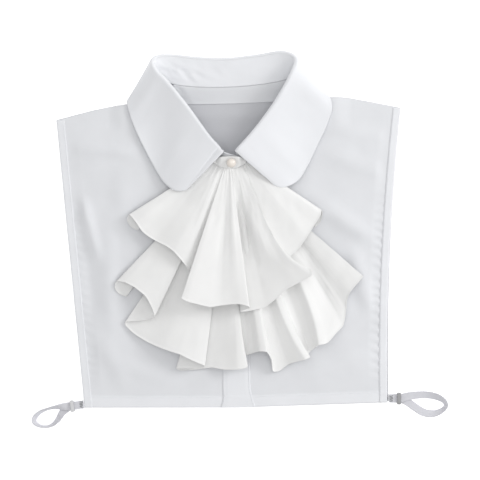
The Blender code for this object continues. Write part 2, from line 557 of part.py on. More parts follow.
def make_strap(side):
    """Elastic webbing swept along its route, twisted to the tilt of each row."""
    table = STRAP_ROUTE[side]
    route = curve(table, np.linspace(0, len(table) - 1, (len(table) - 1) * STRAP_SAMPLES + 1))
    x, y, tilt, lift = (route[:, column] for column in range(4))
    tilt = np.radians(tilt)
    lift = np.maximum(lift, 0.0)
    z = lift + STRAP_WIDTH / 2 * np.sin(tilt) + STRAP_WALL / 2 * np.cos(tilt)
    line = np.stack([x, y, z], axis=-1)
    travel = np.gradient(line, axis=0)
    travel[:, 2] = 0.0
    travel = unit(travel)
    outer = 1.0 if side == "left" else -1.0
    side_way = outer * np.stack([travel[:, 1], -travel[:, 0], np.zeros_like(x)], axis=-1)
    upward = np.array((0.0, 0.0, 1.0))
    wide = side_way * np.cos(tilt)[:, None] + upward * np.sin(tilt)[:, None]
    thick = upward * np.cos(tilt)[:, None] - side_way * np.sin(tilt)[:, None]
    corners = [line + wide * (STRAP_WIDTH / 2 * a) + thick * (STRAP_WALL / 2 * b)
               for a, b in ((-1, -1), (1, -1), (1, 1), (-1, 1))]
    ring = np.stack(corners, axis=1)
    if side == "left":
        ring = ring[:, ::-1]
    count = len(line)
    index = np.arange(count * 4).reshape(count, 4)
    turned = np.roll(index, -1, axis=1)
    sides = np.stack([index[:-1], turned[:-1], turned[1:], index[1:]], axis=-1).reshape(-1, 4)
    faces = sides.tolist() + [index[0][::-1].tolist(), index[-1].tolist()]
    mesh = bpy.data.meshes.new(f"strap_{side}")
    mesh.from_pydata((ring.reshape(-1, 3) * MM).tolist(), [], faces)
    add_object(f"strap_{side}", mesh, "elastic")


def make_slider(side):
    """Slider: a flat bar bent round both runs of the strap, as a frame standing across them."""
    outer_y, outer_z = SLIDER_WIDTH / 2, SLIDER_HEIGHT
    inner_y = outer_y - SLIDER_BAR
    outline = bpy.data.curves.new(f"slider_{side}", "CURVE")
    outline.dimensions = "2D"
    outline.fill_mode = "BOTH"
    outline.extrude = SLIDER_LENGTH / 2 * MM
    for y, low, high in ((outer_y, 0.0, outer_z), (inner_y, SLIDER_BAR, outer_z - SLIDER_BAR)):
        spline = outline.splines.new("POLY")
        spline.points.add(3)
        for point, place in zip(spline.points, ((-y, low), (y, low), (y, high), (-y, high))):
            point.co = (place[0] * MM, place[1] * MM, 0.0, 1.0)
        spline.use_cyclic_u = True
    x, y, turn = SLIDER_PLACE[side]
    frame = bpy.data.objects.new("outline", outline)
    bpy.data.collections[COLLECTION].objects.link(frame)
    mesh = bpy.data.meshes.new_from_object(frame.evaluated_get(bpy.context.evaluated_depsgraph_get()))
    mesh.name = f"slider_{side}"
    bpy.data.objects.remove(frame)
    shape = bmesh.new()
    shape.from_mesh(mesh)
    bmesh.ops.remove_doubles(shape, verts=shape.verts, dist=0.01 * MM)
    shape.to_mesh(mesh)
    shape.free()
    mesh.materials.clear()
    slider = add_object(f"slider_{side}", mesh, "slider_plastic")
    slider.location = (x * MM, y * MM, 0.0)
    slider.rotation_euler = (math.pi / 2, 0.0, math.pi / 2 + math.radians(turn))


def main():
    """Clear the scene and make every piece of the collar."""
    for old in list(bpy.data.objects):
        bpy.data.objects.remove(old)
    bpy.context.scene.collection.children.link(bpy.data.collections.new(COLLECTION))
    cloth("back_panel", back_surface(), SHIRT_WALL, "shirt_cloth")
    for side in ("left", "right"):
        make_front(side)
        make_side_band(side)
        make_strap(side)
        make_slider(side)
    make_facing()
    make_placket()
    make_stand()
    make_leaf()
    for tier in TIERS:
        cloth(f"jabot_{tier}_tier", tier_surface(tier, TIER_SAMPLES, TIER_ROWS), JABOT_WALL, "jabot_cloth")
    make_tab()
    make_pearl()


main()
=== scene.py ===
"""Visual model of a detachable ruffled collar, laid flat on a pale surface.

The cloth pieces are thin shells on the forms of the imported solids. X runs to the viewer's right,
Y up the garment and Z up from the surface. Tables are in millimetres and degrees.
"""

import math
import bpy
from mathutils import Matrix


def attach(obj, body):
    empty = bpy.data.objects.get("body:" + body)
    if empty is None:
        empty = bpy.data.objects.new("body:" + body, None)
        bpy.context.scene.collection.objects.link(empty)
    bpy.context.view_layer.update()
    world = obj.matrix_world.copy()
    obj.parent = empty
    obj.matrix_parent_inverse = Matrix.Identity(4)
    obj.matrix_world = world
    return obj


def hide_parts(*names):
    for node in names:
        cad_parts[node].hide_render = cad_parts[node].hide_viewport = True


bl_info = {
    "name": "Detachable Ruffled Collar",
    "version": (1, 0, 0),
    "blender": (4, 5, 0),
    "location": "3D View > Sidebar > Collar",
    "description": "Makes a white false shirt front with a ruffled jabot",
    "category": "Add Mesh",
}

import bpy
import numpy as np

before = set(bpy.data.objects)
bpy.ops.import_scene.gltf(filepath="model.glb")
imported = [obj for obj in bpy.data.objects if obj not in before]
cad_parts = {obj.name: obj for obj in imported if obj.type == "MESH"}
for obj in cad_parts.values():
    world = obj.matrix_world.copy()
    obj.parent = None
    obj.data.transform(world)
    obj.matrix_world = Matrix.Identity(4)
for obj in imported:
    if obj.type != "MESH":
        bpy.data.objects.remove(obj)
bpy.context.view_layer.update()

MM = 0.001

# Heights of the outer faces where they lie plain, and how far one piece lies above the next
BACK_HEIGHT = 1.2
FRONT_HEIGHT = 2.7
LAY = 0.12
# Way to the middle of the garment from each of its sides
INWARD = {"left": 1.0, "right": -1.0}
# Seeds of the uneven waves on each piece
SEED = {"left": 3, "right": 5, "placket": 8, "stand": 21, "facing": 25, "leaf": 31, "gathers": 41,
        "tab": 43, "tiers": 51}
# How far the long edges of a folded band roll down
EDGE_ROLL = 0.35

# Tone of single cloth against doubled cloth
SINGLE_TONE = 0.93
# Woven cloths: colour setting, pitch of the threads and depth of the weave in metres, roughness
# and sheen
CLOTHS = {
    "shirt_cotton": ("shirt", 0.0005, 0.00006, 0.9, 0.12),
    # The inner cloth's colour is painted shade: the back's white cotton, darkened for the shadow deep
    # inside the neck
    "inner_cotton": ("inner", 0.0005, 0.00006, 0.9, 0.12),
    "jabot_crepe": ("jabot", 0.0004, 0.00004, 0.85, 0.18),
}

# Front and back panels: outline corners (x, y) and the bow of each side edge
HEM_CORNER = {"left": (-155.2, -167.4), "right": (147.2, -162.2)}
CENTRE_HEM = (-2.0, -167.3)
CENTRE_NECK = (-7.5, 68.9)
SIDE_BOW = {"left": 0.0, "right": -4.7}
CENTRE_GAP = 0.4
BACK_INSET = 1.2
CORNER_TAB = 1.4
SHOULDER_LINE = {
    "left": ((-183.4, 119.8), (-148.2, 129.0), (-126.7, 133.4), (-112.0, 135.6), (-97.0, 138.6)),
    "right": ((160.7, 132.1), (122.4, 139.5), (104.0, 142.4), (88.0, 142.6), (73.0, 141.8)),
}
NECK_POINT = {"left": 7.2, "right": 18.5}
BACK_NECK = (8.7, 17.2)
EDGE_SAMPLES = 60
# Counts of columns and rows of the panels' surfaces
FRONT_COLUMNS = 190
FRONT_ROWS = 230
HEM_COLUMNS = 200
BAND_COLUMNS = 13
SHOULDER_COLUMNS = 40
NECK_COLUMNS = 100
BACK_ROWS = 90
# Power by which the back's rows crowd at its top, its drop from the top edge, and the shares over
# which it rises to the neck's seam from the shoulders
BACK_CROWDING = 1.9
BACK_DROP = 0.5
NECK_FADE = (0.1, 0.6)

# Stitches: share of a stitch's length that its thread shows, how far the rows lie from the edge of
# a hem and of a side band, their lift, and half the width that the placket covers at the hem
STITCH_SHARE = 0.8
STITCH_INSET = 1.4
BAND_INSET = 1.3
STITCH_LAY = 0.1
PLACKET_CLEAR = 14.0
# Rings of a stitch and sides of each, the share of its length that its blunt ends leave out, and in
# radii of the thread how far it swells up at its middle and sinks at its ends
STITCH_RINGS = 6
STITCH_SIDES = 6
STITCH_END = 0.04
STITCH_SWELL = 1.3
STITCH_SINK = 0.6
# Zigzag that holds a strap: its turns, its start and step along the strap, and its inset
ZIGZAG_TURNS = 12
ZIGZAG_START = 0.5
ZIGZAG_STEP = 0.3
ZIGZAG_INSET = 0.6

# Rise of each panel over the back half of the collar: lift, its start and end in x at the left and
# right, its start and end in y
BACK_DRAPE = (1.8, (-119.0, -113.0), (92.0, 98.0), (112.0, 126.0))
FRONT_DRAPE = (2.6, (-132.0, -116.0), (94.0, 112.0), (102.0, 124.0))
NECK_SLOPE = 17.0

# Soft folds of the front panels: from (x, y) to (x, y), half width and height
PANEL_FOLDS = {
    "left": (
        (-159.0, 40.0, -143.0, -22.0, 8.0, 2.6),
        (-156.0, 40.0, -141.0, -16.0, 4.5, 1.8),
        (-132.0, 22.0, -127.0, -104.0, 12.0, 3.6),
        (-154.0, -4.0, -149.0, -84.0, 8.0, -0.9),
        (-166.0, 92.0, -104.0, 88.0, 7.0, 2.2),
        (-120.0, 60.0, -104.0, -40.0, 11.0, 2.2),
        (-128.0, -120.0, -60.0, -146.0, 9.0, 1.6),
        (-140.0, -96.0, -112.0, -154.0, 10.0, 2.2),
    ),
    "right": (
        (90.0, 114.0, 150.0, 104.0, 9.0, 1.8),
        (84.0, 88.0, 150.0, 64.0, 11.0, 2.4),
        (76.0, 38.0, 136.0, -2.0, 10.0, 3.2),
        (112.0, -8.0, 130.0, -70.0, 9.0, 3.0),
        (60.0, -138.0, 126.0, -112.0, 9.0, 1.6),
    ),
}
# Shares of a fold's length over which it rises and dies out
FOLD_ENDS = ((-0.15, 0.3), (0.7, 1.15))
# Crown of the panels, and the distances from the side and the centre, and shares of the height,
# over which it and the folds come in
PANEL_CROWN = 0.7
SIDE_CLEAR = (8.5, 20.0)
CENTRE_CLEAR = (19.0, 34.0)
PANEL_FADE = ((0.0, 0.14), (0.84, 0.97))
# Uneven waves of the panels: size and height of each
PANEL_WAVES = ((31.0, 0.5), (13.0, 0.22))
# Puckers along the side seams: height, a wave's length divided by 2 pi, how far and at what size the
# waves waver, and the distances from the side edge and shares of the height where they come and go
SEAM_PUCKER = {"left": 0.3, "right": 0.55}
PUCKER_PITCH = 1.5
PUCKER_WAVER = 2.0
PUCKER_SIZE = 22.0
PUCKER_SPAN = ((7.0, 9.5), (10.0, 19.0))
PUCKER_RISE = ((0.05, 0.15), (0.55, 0.8))
# Turned-up hem of the panels: its depth and the step at its upper edge
HEM_DEPTH = 11.5
HEM_STEP = 0.45

# Facing inside the back of the neck: the shares of the back's neckline where it starts and ends,
# and its lower edge (x, y)
FACING_SPAN = (0.23, 0.846)
FACING_EDGE = ((-76.0, 135.2), (-40.0, 135.4), (-8.0, 136.0), (24.0, 137.4), (50.0, 139.0))
FACING_ROWS = 26
# How far the facing runs past the back's edge, and its tone on the scale of cloth in two layers at 1
# and single cloth at 0, set below single cloth as painted shade for the shadow inside the neck
FACING_LAP = 0.3
FACING_PAINTED_SHADE = -0.6
# Creases at the facing's left end: size, height, slant, and where they fade out in x
FACING_CREASES = (6.0, 0.6, 0.6, (-62.0, -38.0))

# Placket and side bands, which lie on the fronts
PLACKET_EDGES = ((-167.0, -19.3, 15.4), (-157.0, -17.0, 12.4), (-145.0, -17.6, 10.4),
                 (-110.0, -18.0, 9.8), (60.0, -21.0, 6.8))
PLACKET_ROWS = 170
PLACKET_COLUMNS = 41
# Soft swelling of the placket, size and height, and the shares of its width where it swells
PLACKET_PUFF = (19.0, 0.25)
PLACKET_SWELLS = ((0.05, 0.2), (0.8, 0.95))
# Shares of their width between which the placket and the side bands aren't rolled down
PLACKET_FLAT = ((0.0, 0.05), (0.95, 1.0))
BAND_FLAT = ((0.0, 0.15), (0.8, 1.0))
SIDE_BAND = 8.0

# The collar ring, a row for each station round the neck from the left front end:
# seam with the panels (x, y, z), fold of the collar (x, y, z), free edge (x, y, z)
COLLAR_RING = (
    (0.0, 67.0, 4.6, -0.8, 85.2, 18.4, -46.4, 53.6, 15.5),
    (-13.0, 69.5, 5.0, -15.5, 89.5, 21.0, -52.8, 50.0, 15.0),
    (-22.0, 72.0, 4.6, -20.0, 94.5, 20.5, -57.0, 48.6, 14.3),
    (-36.0, 79.0, 4.4, -28.0, 103.0, 20.0, -66.0, 49.6, 13.0),
    (-50.0, 90.0, 4.4, -37.0, 115.0, 19.5, -77.0, 58.5, 9.5),
    (-63.0, 104.0, 4.6, -47.0, 129.0, 19.5, -86.0, 73.0, 7.5),
    (-74.0, 120.0, 5.2, -59.0, 144.5, 20.0, -95.0, 90.0, 6.6),
    (-82.0, 138.0, 6.4, -71.0, 159.0, 21.5, -104.0, 109.0, 7.0),
    (-85.0, 149.0, 6.6, -80.0, 168.0, 21.5, -110.2, 126.0, 8.0),
    (-82.0, 156.5, 6.4, -85.0, 178.0, 17.0, -112.5, 139.5, 6.2),
    (-74.0, 157.0, 5.8, -81.0, 184.5, 10.0, -105.0, 140.0, 0.0),
    (-62.0, 154.5, 5.4, -66.0, 185.5, 6.0, -88.0, 137.8, 0.0),
    (-40.0, 152.5, 5.3, -42.0, 183.0, 5.2, -50.0, 137.0, 0.0),
    (-12.0, 152.5, 5.3, -13.0, 182.2, 5.2, -12.0, 137.0, 0.0),
    (15.0, 154.5, 5.3, 17.0, 185.5, 5.6, 28.0, 137.0, 0.0),
    (36.0, 157.5, 5.4, 38.0, 188.6, 8.4, 62.0, 138.0, 0.0),
    (48.0, 160.0, 5.8, 49.5, 186.0, 13.0, 77.5, 144.0, 0.0),
    (57.0, 157.0, 6.4, 53.0, 179.0, 17.0, 86.5, 146.8, 6.2),
    (61.0, 148.0, 6.6, 49.5, 168.0, 21.5, 91.8, 133.0, 8.0),
    (59.0, 134.0, 6.4, 41.0, 151.5, 21.5, 86.5, 114.5, 7.0),
    (52.0, 118.0, 5.2, 30.5, 134.5, 20.0, 77.5, 95.0, 6.6),
    (41.0, 102.0, 4.6, 20.0, 120.0, 19.5, 68.5, 76.0, 7.5),
    (28.0, 88.0, 4.4, 10.5, 108.0, 19.5, 59.5, 61.0, 9.5),
    (14.0, 77.0, 4.4, 2.8, 99.4, 20.0, 49.5, 54.0, 13.0),
    (5.0, 73.0, 4.6, -2.6, 93.6, 20.8, 41.0, 52.2, 14.5),
    (-3.0, 71.2, 4.8, -6.0, 89.6, 19.6, 34.5, 54.0, 15.0),
)
LEAF_FIRST = 1
FOLD_RADIUS = 2.6
SETTLE = 2.5
SETTLE_HEIGHTS = (3.0, 9.0)
# Samples from one station to the next, and rows of the stand, the fold and the leaf
RING_SAMPLES = 12
STAND_ROWS = 26
ROLL_ROWS = 16
LEAF_ROWS = 40
# Stand: its depth, its wrinkles (size, slant, height, and added height where it is crushed), and the
# stations over which that part begins and ends
STAND_DEPTH = 30.0
STAND_WRINKLES = (7.0, 0.7, 0.075, 0.85)
STAND_CRUSHED = ((7.5, 9.0), (11.5, 13.5))
# Soft waves of the leaf, size and height, and the edge's heights over which they come in
LEAF_WAVE = (27.0, 0.5)
LEAF_STANDING = (5.0, 9.0)

# Jabot: hem of each tier, a row for each turn of its folds from the left end: angle from straight
# down (to the right is more), reach from the head centre, height, sideways bow of the fold line
JABOT_CENTRE = (-9.0, 77.0)
UPPER_HEM = (
    (-54.0, 115.0, 5.2, 0.0), (-57.5, 118.5, 6.6, 0.0), (-61.0, 118.5, 8.8, 0.0),
    (-63.0, 113.5, 11.6, 0.0), (-58.0, 111.5, 14.8, 0.0), (-51.5, 111.5, 13.6, 0.0),
    (-45.0, 108.5, 14.6, 0.0), (-38.0, 105.0, 18.9, 0.0), (-32.5, 105.0, 21.9, 0.0),
    (-27.0, 108.5, 22.0, 0.0), (-22.5, 113.0, 20.0, 0.0), (-19.5, 118.5, 17.4, 0.0),
    (-16.2, 126.0, 16.2, 0.0), (-14.4, 132.0, 17.6, 0.0), (-15.8, 137.0, 21.6, 0.0),
    (-18.6, 141.5, 26.6, 0.0), (-20.0, 143.0, 30.0, 0.0), (-17.5, 144.0, 31.0, 0.0),
    (-13.0, 144.0, 29.2, 0.0), (-8.0, 144.5, 27.8, 0.0), (-4.0, 142.0, 27.0, 0.0),
    (0.0, 140.5, 27.6, 0.0), (3.8, 140.5, 29.2, 0.0), (7.0, 143.5, 29.8, 0.0),
    (7.2, 145.5, 26.1, 0.0), (4.8, 147.0, 21.9, 0.0), (3.8, 148.0, 19.6, 0.0),
    (6.0, 148.5, 18.2, 0.0), (9.8, 148.0, 18.6, 0.0), (13.5, 147.5, 19.6, 0.0),
    (17.0, 143.5, 21.6, -2.0), (24.5, 137.0, 25.7, -6.0), (31.0, 137.0, 29.8, -10.0),
    (35.6, 137.0, 32.8, -12.0), (36.4, 131.0, 31.3, -12.0), (34.0, 124.0, 26.1, -10.0),
    (31.4, 117.0, 21.6, -8.0), (30.6, 112.5, 19.3, -6.0), (33.0, 110.0, 18.2, -4.0),
    (38.5, 108.5, 18.9, -2.0), (45.5, 105.5, 19.7, 0.0), (53.0, 103.5, 17.1, 0.0),
    (60.0, 103.0, 15.6, 0.0), (62.4, 101.5, 12.6, 0.0), (61.0, 104.5, 9.0, 0.0),
    (56.6, 107.0, 6.9, 0.0), (52.4, 105.5, 5.7, 0.0),
)
LOWER_HEM = (
    (-38.0, 169.5, 5.1, 0.0), (-40.8, 172.0, 5.9, 0.0), (-43.0, 170.0, 7.6, 0.0),
    (-44.0, 164.0, 9.6, 0.0), (-41.5, 159.0, 13.2, 0.0), (-37.5, 156.5, 15.7, 0.0),
    (-32.5, 157.5, 17.5, 0.0), (-28.5, 164.0, 19.0, 0.0), (-26.3, 170.5, 18.6, 0.0),
    (-27.2, 175.0, 14.4, 0.0), (-30.5, 183.0, 10.2, 0.0), (-33.4, 190.0, 8.2, 0.0),
    (-32.8, 193.5, 6.1, 0.0), (-29.5, 196.0, 6.4, 0.0), (-25.0, 197.0, 8.9, 0.0),
    (-20.0, 197.0, 14.6, 0.0), (-15.0, 197.0, 18.2, 0.0), (-10.5, 200.5, 17.9, 0.0),
    (-7.3, 203.5, 14.6, 0.0), (-8.3, 206.0, 11.0, 0.0), (-12.0, 209.5, 8.9, 0.0),
    (-14.8, 212.0, 7.4, 0.0), (-13.5, 213.0, 5.6, 0.0), (-9.5, 209.0, 5.6, 0.0),
    (-5.5, 205.0, 7.8, 0.0), (-2.0, 206.0, 11.8, 0.0), (2.0, 205.5, 16.1, -2.0),
    (4.6, 203.8, 15.7, -4.0), (4.6, 197.5, 11.0, -4.0), (3.6, 193.0, 8.0, -2.0),
    (4.8, 192.5, 6.6, 0.0), (6.8, 190.5, 11.0, 0.0), (8.6, 189.5, 18.6, 0.0),
    (10.8, 191.5, 19.7, 0.0), (11.7, 200.0, 13.9, 0.0), (11.5, 212.0, 7.3, 0.0),
    (13.2, 213.0, 5.6, 0.0), (15.8, 209.0, 6.0, -2.0), (18.3, 208.5, 11.8, -5.0),
    (20.6, 209.0, 17.5, -7.0), (22.2, 208.5, 15.4, -6.0), (21.9, 206.0, 9.6, -3.0),
    (22.7, 204.0, 6.7, 1.0), (24.0, 202.5, 10.7, 5.0), (25.6, 201.0, 18.6, 9.0),
    (28.2, 203.0, 16.4, 8.0), (32.0, 199.0, 12.5, 6.0), (34.6, 197.0, 9.0, 4.0),
    (36.6, 191.0, 7.4, 3.0), (38.4, 185.0, 7.2, 2.0), (40.0, 179.5, 8.6, 1.0),
    (41.4, 176.5, 10.2, 0.0), (42.8, 175.0, 11.8, 0.0), (44.5, 174.2, 13.0, 0.0),
    (47.0, 173.8, 13.8, 0.0), (49.3, 173.4, 13.6, 0.0),
)
# Tier: hem table, half width and depth of its head, rise of the head's centre, head height and its
# drop at the ends, mean height of the hem, the power by which its folds deepen from the head to the
# hem, and the cut of the cloth (hem, depth, area)
TIERS = {
    "upper": (UPPER_HEM, 19.0, 17.0, 12.0, 13.4, 2.0, 17.0, 1.2, (0.36, 0.13, 0.0215)),
    "lower": (LOWER_HEM, 17.0, 14.0, 0.0, 7.0, 0.0, 10.5, 1.3, (0.46, 0.19, 0.038)),
}
# Soft troughs and ridges of the tiers: row of the hem table, share of the way from the head, half
# width in rows, half length as a share, height at the middle
CREASES = {
    "upper": (
        (27.4, 0.44, 1.9, 0.19, -11.5),
        (29.3, 0.34, 0.6, 0.12, 1.3),
        (30.3, 0.46, 0.6, 0.13, 2.0),
        (31.0, 0.60, 0.7, 0.14, 1.4),
        (4.0, 0.46, 2.4, 0.20, -3.2),
        (36.6, 0.40, 0.8, 0.25, -1.6),
        (19.6, 0.55, 0.9, 0.35, -1.6),
        (21.6, 0.45, 0.7, 0.30, 1.2),
        (2.2, 0.60, 0.8, 0.30, -1.4),
        (9.6, 0.55, 1.0, 0.35, 1.4),
        (43.0, 0.45, 0.8, 0.30, -1.2),
    ),
    "lower": (
        (46.2, 0.80, 1.5, 0.14, -6.0),
        (10.5, 0.80, 1.2, 0.20, -1.6),
        (36.0, 0.80, 1.0, 0.25, 1.4),
    ),
}
# Samples from one row of a hem to the next, rows from the hem to the head, and the power by which
# these crowd at the hem
TIER_SAMPLES = 7
TIER_ROWS = 74
TIER_CROWDING = 1.4
# Fine gathers at the head: height, size along the hem, how far they are drawn out from the head
# and how far they reach
GATHERS = (0.55, 7.0, 40.0, 0.2)
# Rolled hem of the tiers: height and width
HEM_ROLL = (0.5, 1.3)
# Soft waves of the tiers' cloth: size and height of each, and their slant
SOFT_WAVES = ((26.0, 0.7), (11.0, 0.28))
WAVE_SLANT = 0.3
# Roundness of the hem's turns, what makes a bow s^2 (1 - s) peak at one, and the power by which the
# mean height changes from the head to the hem
HEM_EASE = 0.32
BOW_PEAK = 6.75
RISE_POWER = 0.9

# Head tab over the gathers: half width, middle, lower and upper edge (y, z), and at its ends the
# rise of the lower edge, the drop of the upper edge and how far each of them sinks
TAB_HALF_WIDTH = 16.0
TAB_MIDDLE = -10.0
TAB_FOOT = (70.6, 14.95)
TAB_TOP = (82.6, 21.3)
TAB_ENDS = (6.0, 1.2, 1.8, 5.0)
TAB_COLUMNS = 61
TAB_ROWS = 31
# Shares of the tab's half width over which its ends sink, the dip of its lower edge, the ridges on
# it (height, size), and the hollow round the pearl (depth, width)
TAB_SINKS = (0.5, 0.95)
TAB_DIP = 1.3
TAB_RIDGES = (0.45, 2.6)
PEARL_HOLLOW = (0.5, 1.3)

# Pearl button: its place on the tab (x, y), and its gap there
PEARL_PLACE = (-8.6, 76.2)
PEARL_RADIUS = 4.8
PEARL_RISE = 3.8
PEARL_BACK = 1.4
PEARL_GAP = 0.3
PEARL_COLUMNS = 64
PEARL_ROWS = 41

# Elastic straps: width, wall, and samples from one turn of the route to the next
STRAP_WIDTH = 8.0
STRAP_WALL = 1.1
STRAP_SAMPLES = 12
# Flat share of the webbing's width, the samples over it, the depth of its ribs as a share of the
# wall, and the pitches in metres of its cords and cross threads
STRAP_FLAT = 0.94
RIB_SAMPLES = 33
STRAP_RIB = 0.12
CORD_PITCH = 0.001
PICK_PITCH = 0.0006
# A row for each turn of the route: x, y, tilt of the outer edge, height of the lower edge
STRAP_ROUTE = {
    "left": (
        (-156.15, -164.0, 0.0, 3.8), (-163.0, -165.0, 0.0, 4.0), (-170.0, -165.8, 4.0, 3.9),
        (-177.0, -166.2, 30.0, 3.0), (-184.0, -166.8, 62.0, 1.2), (-192.0, -168.6, 72.0, 0.2),
        (-199.0, -171.6, 66.0, 0.0), (-204.0, -176.2, 58.0, 0.0), (-205.4, -181.0, 60.0, 0.0),
        (-201.4, -184.8, 72.0, 0.0), (-194.4, -186.2, 80.0, 0.0), (-187.6, -184.6, 70.0, 0.0),
        (-182.0, -179.6, 50.0, 0.0), (-177.6, -172.6, 26.0, 0.2), (-172.2, -167.4, 4.0, 1.1),
        (-166.5, -165.6, 0.0, 1.4), (-156.15, -164.4, 0.0, 1.0),
    ),
    "right": (
        (148.9, -158.2, 0.0, 3.8), (155.0, -158.3, 0.0, 4.0), (160.0, -157.8, 0.0, 3.9),
        (167.0, -156.0, 6.0, 3.6), (176.0, -154.8, 16.0, 2.0), (186.0, -154.6, 24.0, 0.3),
        (196.0, -156.4, 34.0, 0.0), (203.6, -160.6, 56.0, 0.0), (205.4, -166.0, 66.0, 0.0),
        (200.0, -171.0, 56.0, 0.0), (192.0, -173.4, 32.0, 0.0), (183.0, -172.0, 16.0, 0.0),
        (174.0, -166.4, 6.0, 0.5), (166.0, -160.8, 0.0, 1.3), (158.0, -158.2, 0.0, 1.4),
        (148.9, -158.0, 0.0, 1.0),
    ),
}
# Sliders: place (x, y) and turn of each, size, bar, tone, and samples round the frame and the bar;
# the right slider's darker grey is painted shade on the same plastic as the left
SLIDER_PLACE = {"left": (-167.4, -165.7, 8.0), "right": (158.6, -158.2, 0.0)}
SLIDER_LENGTH = 3.6
SLIDER_WIDTH = 11.8
SLIDER_HEIGHT = 7.2
SLIDER_BAR = 1.1
# The right slider's grey is painted shade: both sliders are the same plastic
SLIDER_GREY_AND_SHADE = {"left": 0.62, "right": 0.30}
SLIDER_TURNS = 96
BAR_TURNS = 24

# Floor, in metres: half its width and how far it lies under the garment
FLOOR_HALF = 6.0
FLOOR_DROP = 0.0002


class ClothSizes(bpy.types.PropertyGroup):
    """Sizes of the cloth and its sewing."""

    shirt_wall: bpy.props.FloatProperty(
        name="Shirt wall", description="Thickness of the shirt cloth",
        default=0.0006, min=0.0002, unit="LENGTH")
    jabot_wall: bpy.props.FloatProperty(
        name="Jabot wall", description="Thickness of the jabot cloth",
        default=0.0005, min=0.0002, unit="LENGTH")
    collar_wall: bpy.props.FloatProperty(
        name="Collar wall", description="Thickness of the interlined collar leaf",
        default=0.0010, min=0.0002, unit="LENGTH")
    stitch_length: bpy.props.FloatProperty(
        name="Stitch length", description="Length from one stitch to the next",
        default=0.0028, min=0.001, unit="LENGTH")
    thread_width: bpy.props.FloatProperty(
        name="Thread width", description="Width of the sewing thread",
        default=0.0004, min=0.0001, unit="LENGTH")


class ClothColours(bpy.types.PropertyGroup):
    """Colours of the garment."""

    shirt: bpy.props.FloatVectorProperty(
        name="Shirt", description="Cool white of the shirt cotton",
        default=(0.80, 0.81, 0.835), subtype="COLOR", min=0.0, max=1.0)
    # Painted shade: the back's white cotton inside the neck, darkened to stand for the shadow there, not
    # a greyer cloth
    inner: bpy.props.FloatVectorProperty(
        name="Inner cloth", description="Grey white of the single cloth inside the neck",
        default=(0.56, 0.565, 0.59), subtype="COLOR", min=0.0, max=1.0)
    jabot: bpy.props.FloatVectorProperty(
        name="Jabot", description="Warm white of the jabot cloth",
        default=(0.84, 0.84, 0.835), subtype="COLOR", min=0.0, max=1.0)
    elastic: bpy.props.FloatVectorProperty(
        name="Elastic", description="Grey white of the elastic webbing",
        default=(0.70, 0.70, 0.74), subtype="COLOR", min=0.0, max=1.0)
    pearl: bpy.props.FloatVectorProperty(
        name="Pearl", description="Cream of the pearl button",
        default=(0.78, 0.72, 0.66), subtype="COLOR", min=0.0, max=1.0)
    thread: bpy.props.FloatVectorProperty(
        name="Thread", description="Colour of the sewing thread",
        default=(0.80, 0.81, 0.84), subtype="COLOR", min=0.0, max=1.0)


class StageSettings(bpy.types.PropertyGroup):
    """Light and camera over the laid out garment."""

    camera_height: bpy.props.FloatProperty(
        name="Camera height", description="Height of the camera over the surface",
        default=2.0, min=0.5, unit="LENGTH")
    view_width: bpy.props.FloatProperty(
        name="View width", description="Width of the surface that the camera sees",
        default=0.48, min=0.1, unit="LENGTH")
    key_power: bpy.props.FloatProperty(
        name="Key light", description="Power of the large light at the upper right, in watts",
        default=14.5, min=0.0)
    fill_power: bpy.props.FloatProperty(
        name="Fill light", description="Power of the wide light overhead, in watts",
        default=18.0, min=0.0)
    room: bpy.props.FloatProperty(
        name="Room light", description="Strength of the even light of the room",
        default=0.62, min=0.0)
    floor_colour: bpy.props.FloatVectorProperty(
        name="Floor", description="Pale colour of the surface",
        default=(0.93, 0.93, 0.93), subtype="COLOR", min=0.0, max=1.0)


def settings():
    """The property groups that the pieces are made with."""
    scene = bpy.context.scene
    return scene.collar_sizes, scene.collar_colours, scene.collar_stage


def curve(rows, places, ease=0.5):
    """Smooth curve through a table's rows, a cubic between each two rows whose slope at a row is
    the step between its neighbours times ease. It is read at row numbers that may be fractions."""
    rows = np.asarray(rows, float)
    places = np.clip(np.asarray(places, float), 0.0, len(rows) - 1.0)
    start = np.minimum(places.astype(int), len(rows) - 2)
    share = (places - start)[:, None]
    padded = np.vstack([2 * rows[0] - rows[1], rows, 2 * rows[-1] - rows[-2]])
    before, here, there, after = (padded[start + step] for step in range(4))
    leave, arrive, step = ease * (there - before), ease * (after - here), there - here
    return (here + leave * share + (3 * step - 2 * leave - arrive) * share ** 2
            + (leave + arrive - 2 * step) * share ** 3)


def smooth(value, low, high):
    """0 below low, 1 above high and 3s^2 - 2s^3 between them."""
    share = np.clip((value - low) / (high - low), 0.0, 1.0)
    return share * share * (3 - 2 * share)


def unit(vectors):
    """Vectors scaled to length one."""
    return vectors / np.linalg.norm(vectors, axis=-1, keepdims=True)


def uneven(x, y, size, seed):
    """Even random waves between -1 and 1: random heights on a square net, joined by S curves."""
    net = np.random.default_rng(seed).uniform(-1.0, 1.0, (64, 64))
    across, up = np.asarray(x, float) / size, np.asarray(y, float) / size
    column, row = np.floor(across).astype(int), np.floor(up).astype(int)
    s, t = smooth(across - column, 0.0, 1.0), smooth(up - row, 0.0, 1.0)
    low = net[row % 64, column % 64] * (1 - s) + net[row % 64, (column + 1) % 64] * s
    high = net[(row + 1) % 64, column % 64] * (1 - s) + net[(row + 1) % 64, (column + 1) % 64] * s
    return low * (1 - t) + high * t


def between(value, low, high):
    """1 between low and high, the two spans over which it rises from 0 and falls back to 0."""
    return smooth(value, *low) * (1 - smooth(value, *high))


def whole_curve(rows, samples):
    """Curve through all of a table's rows, read at an even count of places."""
    return curve(rows, np.linspace(0, len(rows) - 1, samples))


